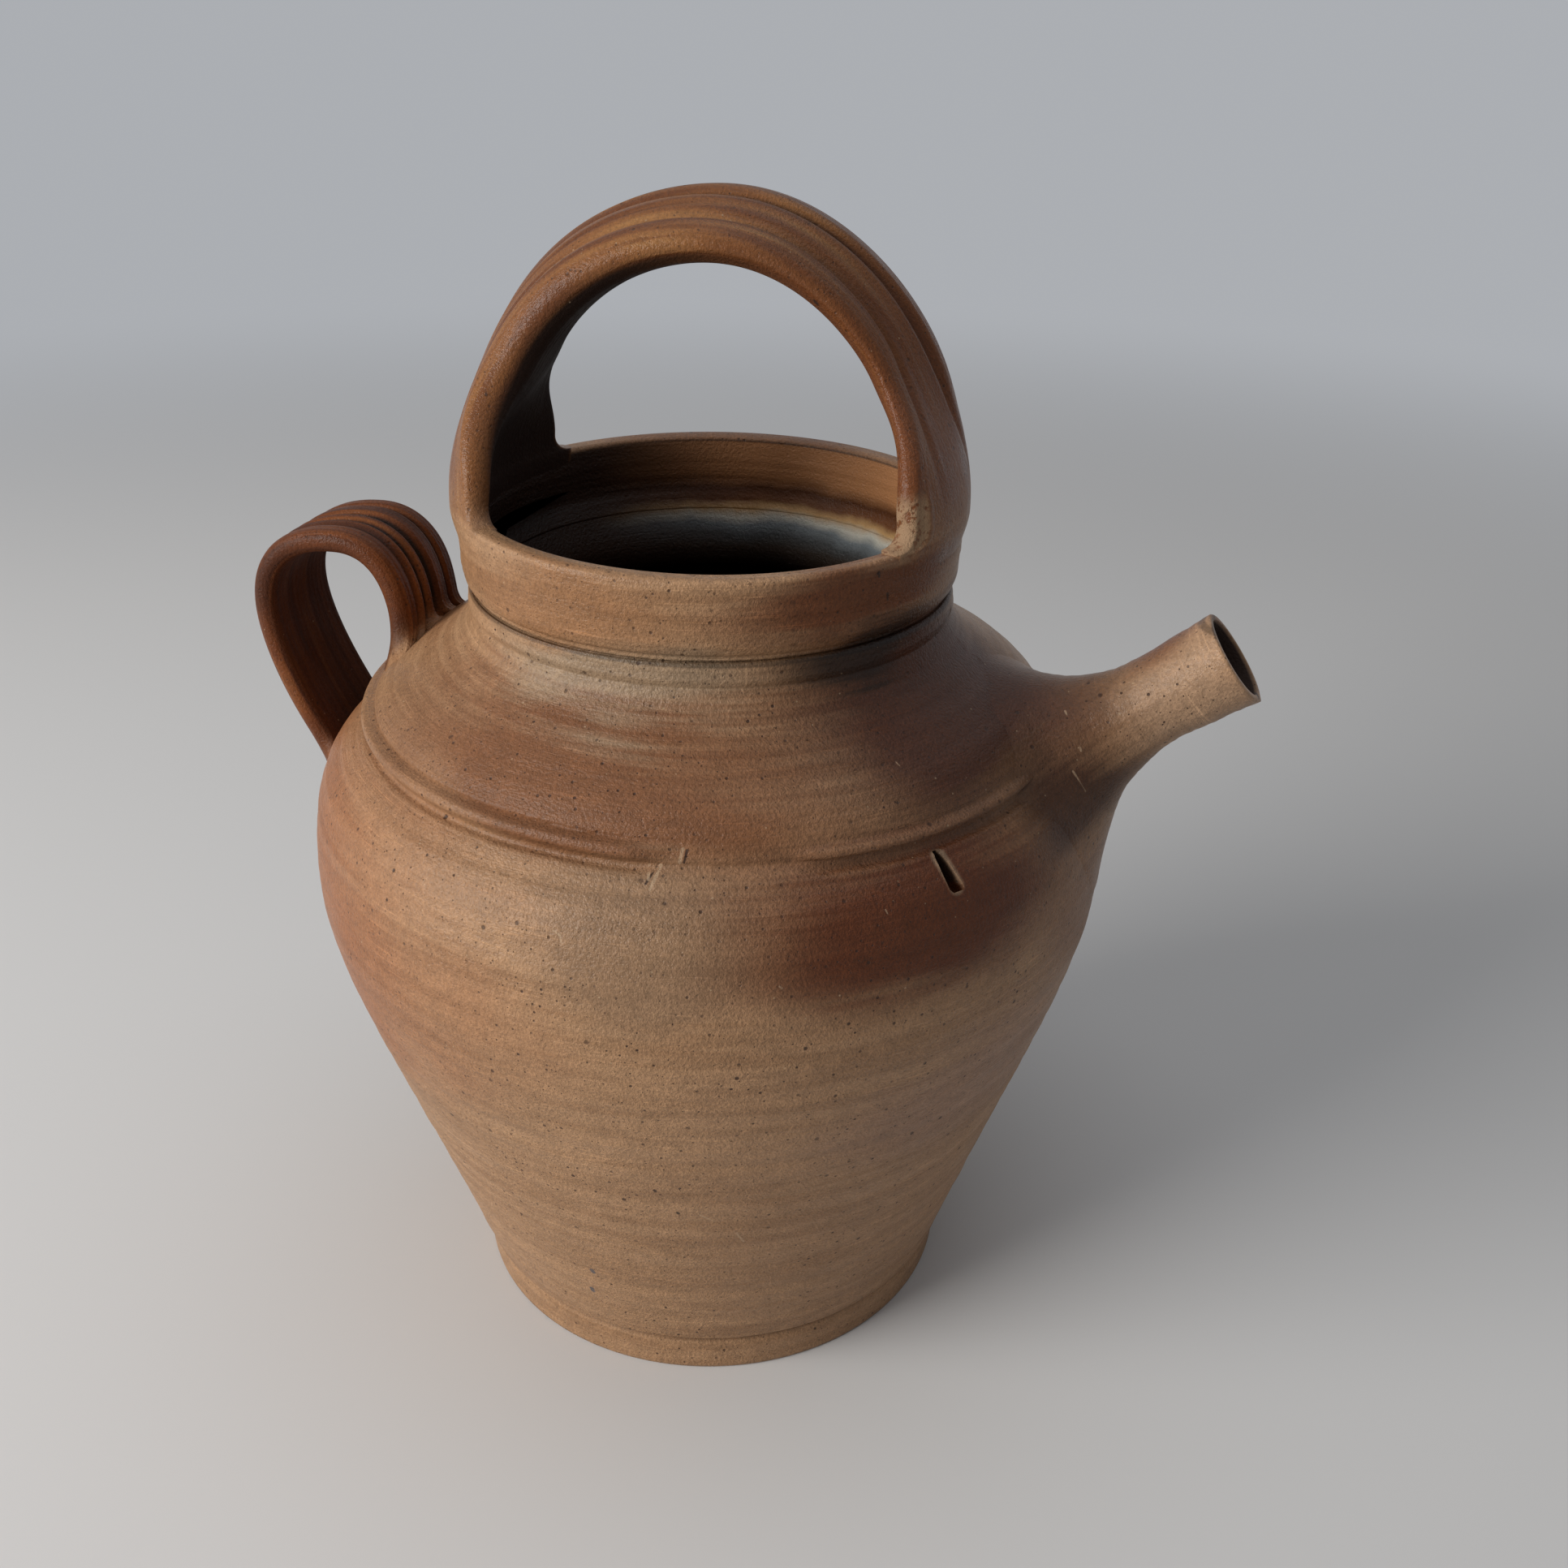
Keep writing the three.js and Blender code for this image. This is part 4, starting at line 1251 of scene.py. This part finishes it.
# turned names the attribute that wheel marks run across, where it isn't the height
def clayMaterial(name, piece, turned=None):
    material, tree, shader = newMaterial(name)
    where = useGroup(tree, clayPlace)
    toasted = useGroup(tree, kilnColour)
    along = attribute(tree, turned) if turned else where["Along"]
    wheel = useGroup(tree, wheelMarks, along=along)
    look = clay[piece]
    grain = dict(speckle=look["speckle"], pebble=look["pebble"])
    skin = useGroup(tree, saltSkin, colour=toasted["Colour"], **grain)
    colour = shade(tree, skin["Colour"], between(tree, wheel["Scratch"], 0, 1, 1.0, clay["scratchTone"]))
    smooth = look["roughness"]
    rough = between(tree, toasted["Gloss"], 0, 1, smooth + clay["rougherBelow"], smooth)
    rough = plus(tree, rough, swing(tree, noiseAt(tree, where["Place"], 0.05, 3.0, 0.6), clay["cloudy"]))
    inner = attribute(tree, "inner")
    # smoke and painted shade darken the inner edge of the rim and of the spout's lip
    colour = mixColour(tree, between(tree, inner, 0.05, 0.5, 0, clay["rimSmokeAndShade"]), colour, inside["smokeAndShade"])
    # inside, the jar and the collar get their glaze bands ending in painted shade, and the spout's bore is
    # painted shade all over
    pooledAndShaded = inside["smokeAndShade"] if piece == "spout" else insideColour(tree, where)
    colour = mixColour(tree, between(tree, inner, 0.5, 0.95), colour, pooledAndShaded)
    if piece == "spout":
        rough = plus(tree, rough, times(tree, inner, clay["boreRougher"]))
    colour = addMarks(tree, where["Place"], colour, marks[piece], piece == "jar")
    height = plus(tree, skin["Height"], times(tree, wheel["Height"], clay["wheelShare"]))
    give(tree, shader.inputs, {"Base Color": colour, "Roughness": rough, "Normal": bumpOf(tree, height)})
    shader.inputs["Specular IOR Level"].default_value = clay["specular"]
    return material


jarClay = clayMaterial("jarClay", "jar")
collarClay = clayMaterial("collarClay", "collar")
spoutClay = clayMaterial("spoutClay", "spout", "run")


# Handles: darker, glossier salt glaze, with painted shade black in the grooves and dark on the inner face,
# and the lines left by pulling.
# Below the x given for each handle, the inner face is turned black with smoke and painted shade.
handles = dict(
    bail=dict(
        glaze=(0.205, 0.082, 0.027), dark=(0.120, 0.041, 0.014), gold=(0.275, 0.130, 0.046),
        roughness=(0.23, 0.39), gloss=0.19, smokeAndShadeBelow=-20, jointShare=0.6,
    ),
    loop=dict(
        glaze=(0.130, 0.038, 0.011), dark=(0.060, 0.018, 0.007), gold=(0.195, 0.068, 0.020),
        roughness=(0.30, 0.46), gloss=0.13, smokeAndShadeBelow=-200, jointShare=0.4,
    ),
    groove=(0.012, 0.006, 0.004), cut=(0.300, 0.185, 0.105), shadySide=(0.135, 0.042, 0.013),
    pulledAcross=22, pulledAlong=0.04, lineShare=0.6, innerShadeShare=0.6, pullShare=0.7,
    shady=(15, 48), shadyShare=0.75, smokeAndShadeOver=40, unglazedRougher=0.4,
    speckle=0.8, pebble=0.8,
)


def handleMaterial(name, colours, marked):
    material, tree, shader = newMaterial(name)
    where = useGroup(tree, clayPlace)
    place = where["Place"]
    toasted = useGroup(tree, kilnColour)
    across = attribute(tree, "across")
    run = attribute(tree, "run")
    inner = attribute(tree, "inner")
    drawn = times(tree, run, handles["pulledAlong"])
    pulledAt = combine(tree, times(tree, across, handles["pulledAcross"]), drawn, inner)
    pulled = noiseAt(tree, pulledAt, 1.0, 3.0, 0.65)
    broad = noiseAt(tree, vector(tree, "MULTIPLY", pulledAt, (0.25, 0.5, 1)), 1.0, 2.0, 0.5)
    colour = mixColour(tree, between(tree, broad, 0.34, 0.6), colours["dark"], colours["glaze"])
    colour = mixColour(tree, between(tree, broad, 0.52, 0.75), colour, colours["gold"])
    nearEdge = between(tree, calc(tree, "ABSOLUTE", across), 0.55, 0.95, 0.35, 1.0)
    lineShare = times(tree, between(tree, pulled, 0.52, 0.66), nearEdge)
    colour = mixColour(tree, times(tree, lineShare, handles["lineShare"]), colour, colours["dark"])
    broken = between(tree, noiseAt(tree, place, 0.3, 3.0, 0.6), 0.25, 0.6, 0.7, 1.0)
    # painted shade: the grooves are coloured nearly black
    grooveShade = times(tree, between(tree, attribute(tree, "groove"), 0.35, 0.85), broken)
    colour = mixColour(tree, grooveShade, colour, handles["groove"])
    x = separate(tree, place)["X"]
    # smoke and painted shade turn the inner face black below the given x
    smokeAndShadeEdge = colours["smokeAndShadeBelow"]
    smokeAndShade = times(tree, inner, between(tree, x, smokeAndShadeEdge + handles["smokeAndShadeOver"], smokeAndShadeEdge))
    # painted shade darkens the whole inner face
    colour = mixColour(tree, times(tree, inner, handles["innerShadeShare"]), colour, colours["dark"])
    shady = between(tree, x, *handles["shady"], 0, handles["shadyShare"])
    colour = mixColour(tree, shady, colour, handles["shadySide"])
    joint = times(tree, attribute(tree, "joint"), minus(tree, 1.0, inner))
    joint = times(tree, joint, between(tree, joint, 0.6, 0.95, colours["jointShare"], 1.0))
    colour = mixColour(tree, joint, colour, toasted["Colour"])
    colour = mixColour(tree, smokeAndShade, colour, inside["smokeAndShade"])
    skin = useGroup(tree, saltSkin, colour=colour, speckle=handles["speckle"], pebble=handles["pebble"])
    ragged = between(tree, noiseAt(tree, place, 0.45, 3.0, 0.65), 0.36, 0.5)
    cut = times(tree, attribute(tree, "cut"), ragged)
    colour = mixColour(tree, cut, skin["Colour"], handles["cut"])
    colour = addMarks(tree, place, colour, marked)
    rough = between(tree, noiseAt(tree, place, 0.08, 3.0, 0.6), 0.3, 0.7, *colours["roughness"])
    rough = plus(tree, rough, times(tree, calc(tree, "MAXIMUM", cut, inner), handles["unglazedRougher"]))
    height = plus(tree, skin["Height"], times(tree, pulled, handles["pullShare"]))
    height = plus(tree, height, times(tree, cut, noiseAt(tree, place, 1.4, 3.0, 0.7)))
    give(tree, shader.inputs, {"Base Color": colour, "Roughness": rough, "Normal": bumpOf(tree, height)})
    shader.inputs["Specular IOR Level"].default_value = colours["gloss"]
    return material


bailGlaze = handleMaterial("bailGlaze", handles["bail"], marks["bail"])
loopGlaze = handleMaterial("loopGlaze", handles["loop"], [])
print("materials made")

for piece, material, node, slot in (
    (body, jarClay, "body", "toasted_stoneware"),
    (ring, collarClay, "collar", "collar_stoneware"),
    (trumpet, spoutClay, "spout", "toasted_stoneware"),
    (strap, bailGlaze, "bail_handle", "dark_glazed_stoneware"),
    (sideLoop, loopGlaze, "side_handle", "dark_glazed_stoneware"),
):
    piece.data.materials.clear()
    piece.data.materials.append(material)
    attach(piece, "root")
    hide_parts(node)
body.data.set_sharp_from_angle(angle=math.radians(60))    # crisp edges at the gash and the spout's hole

# table, light and camera

studio = dict(
    floorSize=8.0, floorColour=(0.65, 0.64, 0.63), floorRoughness=0.9,
    background=(0.41, 0.425, 0.45), room=(0.92, 0.95, 1.0), fill=0.20,
    clear=0.55, faded=1.5,    # the table's colour turns into the background between these distances
    window=dict(
        at=(-1.15, -1.05, 0.75), aim=(0, 0, 0.13), size=(1.0, 0.8), power=31.0, colour=(1.0, 0.985, 0.96),
    ),
    ceiling=dict(
        at=(0.05, 0.05, 1.30), aim=(0, 0, 0.15), size=(1.2, 1.2), power=3.8, colour=(0.95, 0.97, 1.0),
    ),
    place=(0.0981, -0.3422, 0.3159), yaw=13.08, pitch=26.82, roll=1.149, lens=36.1,
)


# What the camera, a glossy or a clear surface sees directly
def seenDirectly(tree):
    path = tree.nodes.new("ShaderNodeLightPath")
    seen = calc(tree, "MAXIMUM", path.outputs["Is Camera Ray"], path.outputs["Is Transmission Ray"])
    return calc(tree, "MAXIMUM", seen, path.outputs["Is Glossy Ray"])


def makeFloor():
    half = studio["floorSize"] / 2
    mesh = bpy.data.meshes.new("table")
    corners = [(-half, -half, 0), (half, -half, 0), (half, half, 0), (-half, half, 0)]
    mesh.from_pydata(corners, [], [(0, 1, 2, 3)])
    table = bpy.data.objects.new("table", mesh)
    bpy.context.collection.objects.link(table)
    material, tree, shader = newMaterial("paleTable")
    shader.inputs["Base Color"].default_value = (*studio["floorColour"], 1)
    shader.inputs["Roughness"].default_value = studio["floorRoughness"]
    far = vector(tree, "LENGTH", tree.nodes.new("ShaderNodeTexCoord").outputs["Object"])
    glow = put(tree, "ShaderNodeEmission", {"Color": (*studio["background"], 1), "Strength": 1.0})
    share = times(tree, between(tree, far, studio["clear"], studio["faded"]), seenDirectly(tree))
    faded = put(tree, "ShaderNodeMixShader", {0: share, 1: shader.outputs[0], 2: glow.outputs[0]})
    give(tree, tree.nodes["Material Output"].inputs, {"Surface": faded.outputs[0]})
    mesh.materials.append(material)


def addLamp(name, settings):
    light = bpy.data.lights.new(name, "AREA")
    light.shape = "RECTANGLE"
    light.size, light.size_y = settings["size"]
    light.energy = settings["power"]
    light.color = settings["colour"]
    lamp = bpy.data.objects.new(name, light)
    lamp.location = settings["at"]
    aim = Vector(settings["aim"]) - Vector(settings["at"])
    lamp.rotation_euler = aim.to_track_quat("-Z", "Y").to_euler()
    bpy.context.collection.objects.link(lamp)


def makeWorld():
    world = bpy.data.worlds.new("room")
    bpy.context.scene.world = world
    world.use_nodes = True
    tree = world.node_tree
    background = tree.nodes["Background"]
    seen = seenDirectly(tree)
    colour = mixColour(tree, seen, studio["room"], studio["background"])
    strength = between(tree, seen, 0, 1, studio["fill"], 1.0)
    give(tree, background.inputs, {"Color": colour, "Strength": strength})


def makeCamera():
    camera = bpy.data.objects.new("camera", bpy.data.cameras.new("camera"))
    bpy.context.collection.objects.link(camera)
    camera.data.lens = studio["lens"]
    camera.data.sensor_width = 36
    camera.matrix_world = (
        Matrix.Translation(studio["place"])
        @ Matrix.Rotation(math.radians(studio["yaw"]), 4, "Z")
        @ Matrix.Rotation(math.radians(90 - studio["pitch"]), 4, "X")
        @ Matrix.Rotation(math.radians(studio["roll"]), 4, "Z")
    )
    camera.data.clip_start = 0.01
    bpy.context.scene.camera = camera


makeFloor()
addLamp("window", studio["window"])
addLamp("ceiling", studio["ceiling"])
makeWorld()
makeCamera()
bpy.context.scene.view_settings.view_transform = "Standard"
print("table, lamps and camera placed")
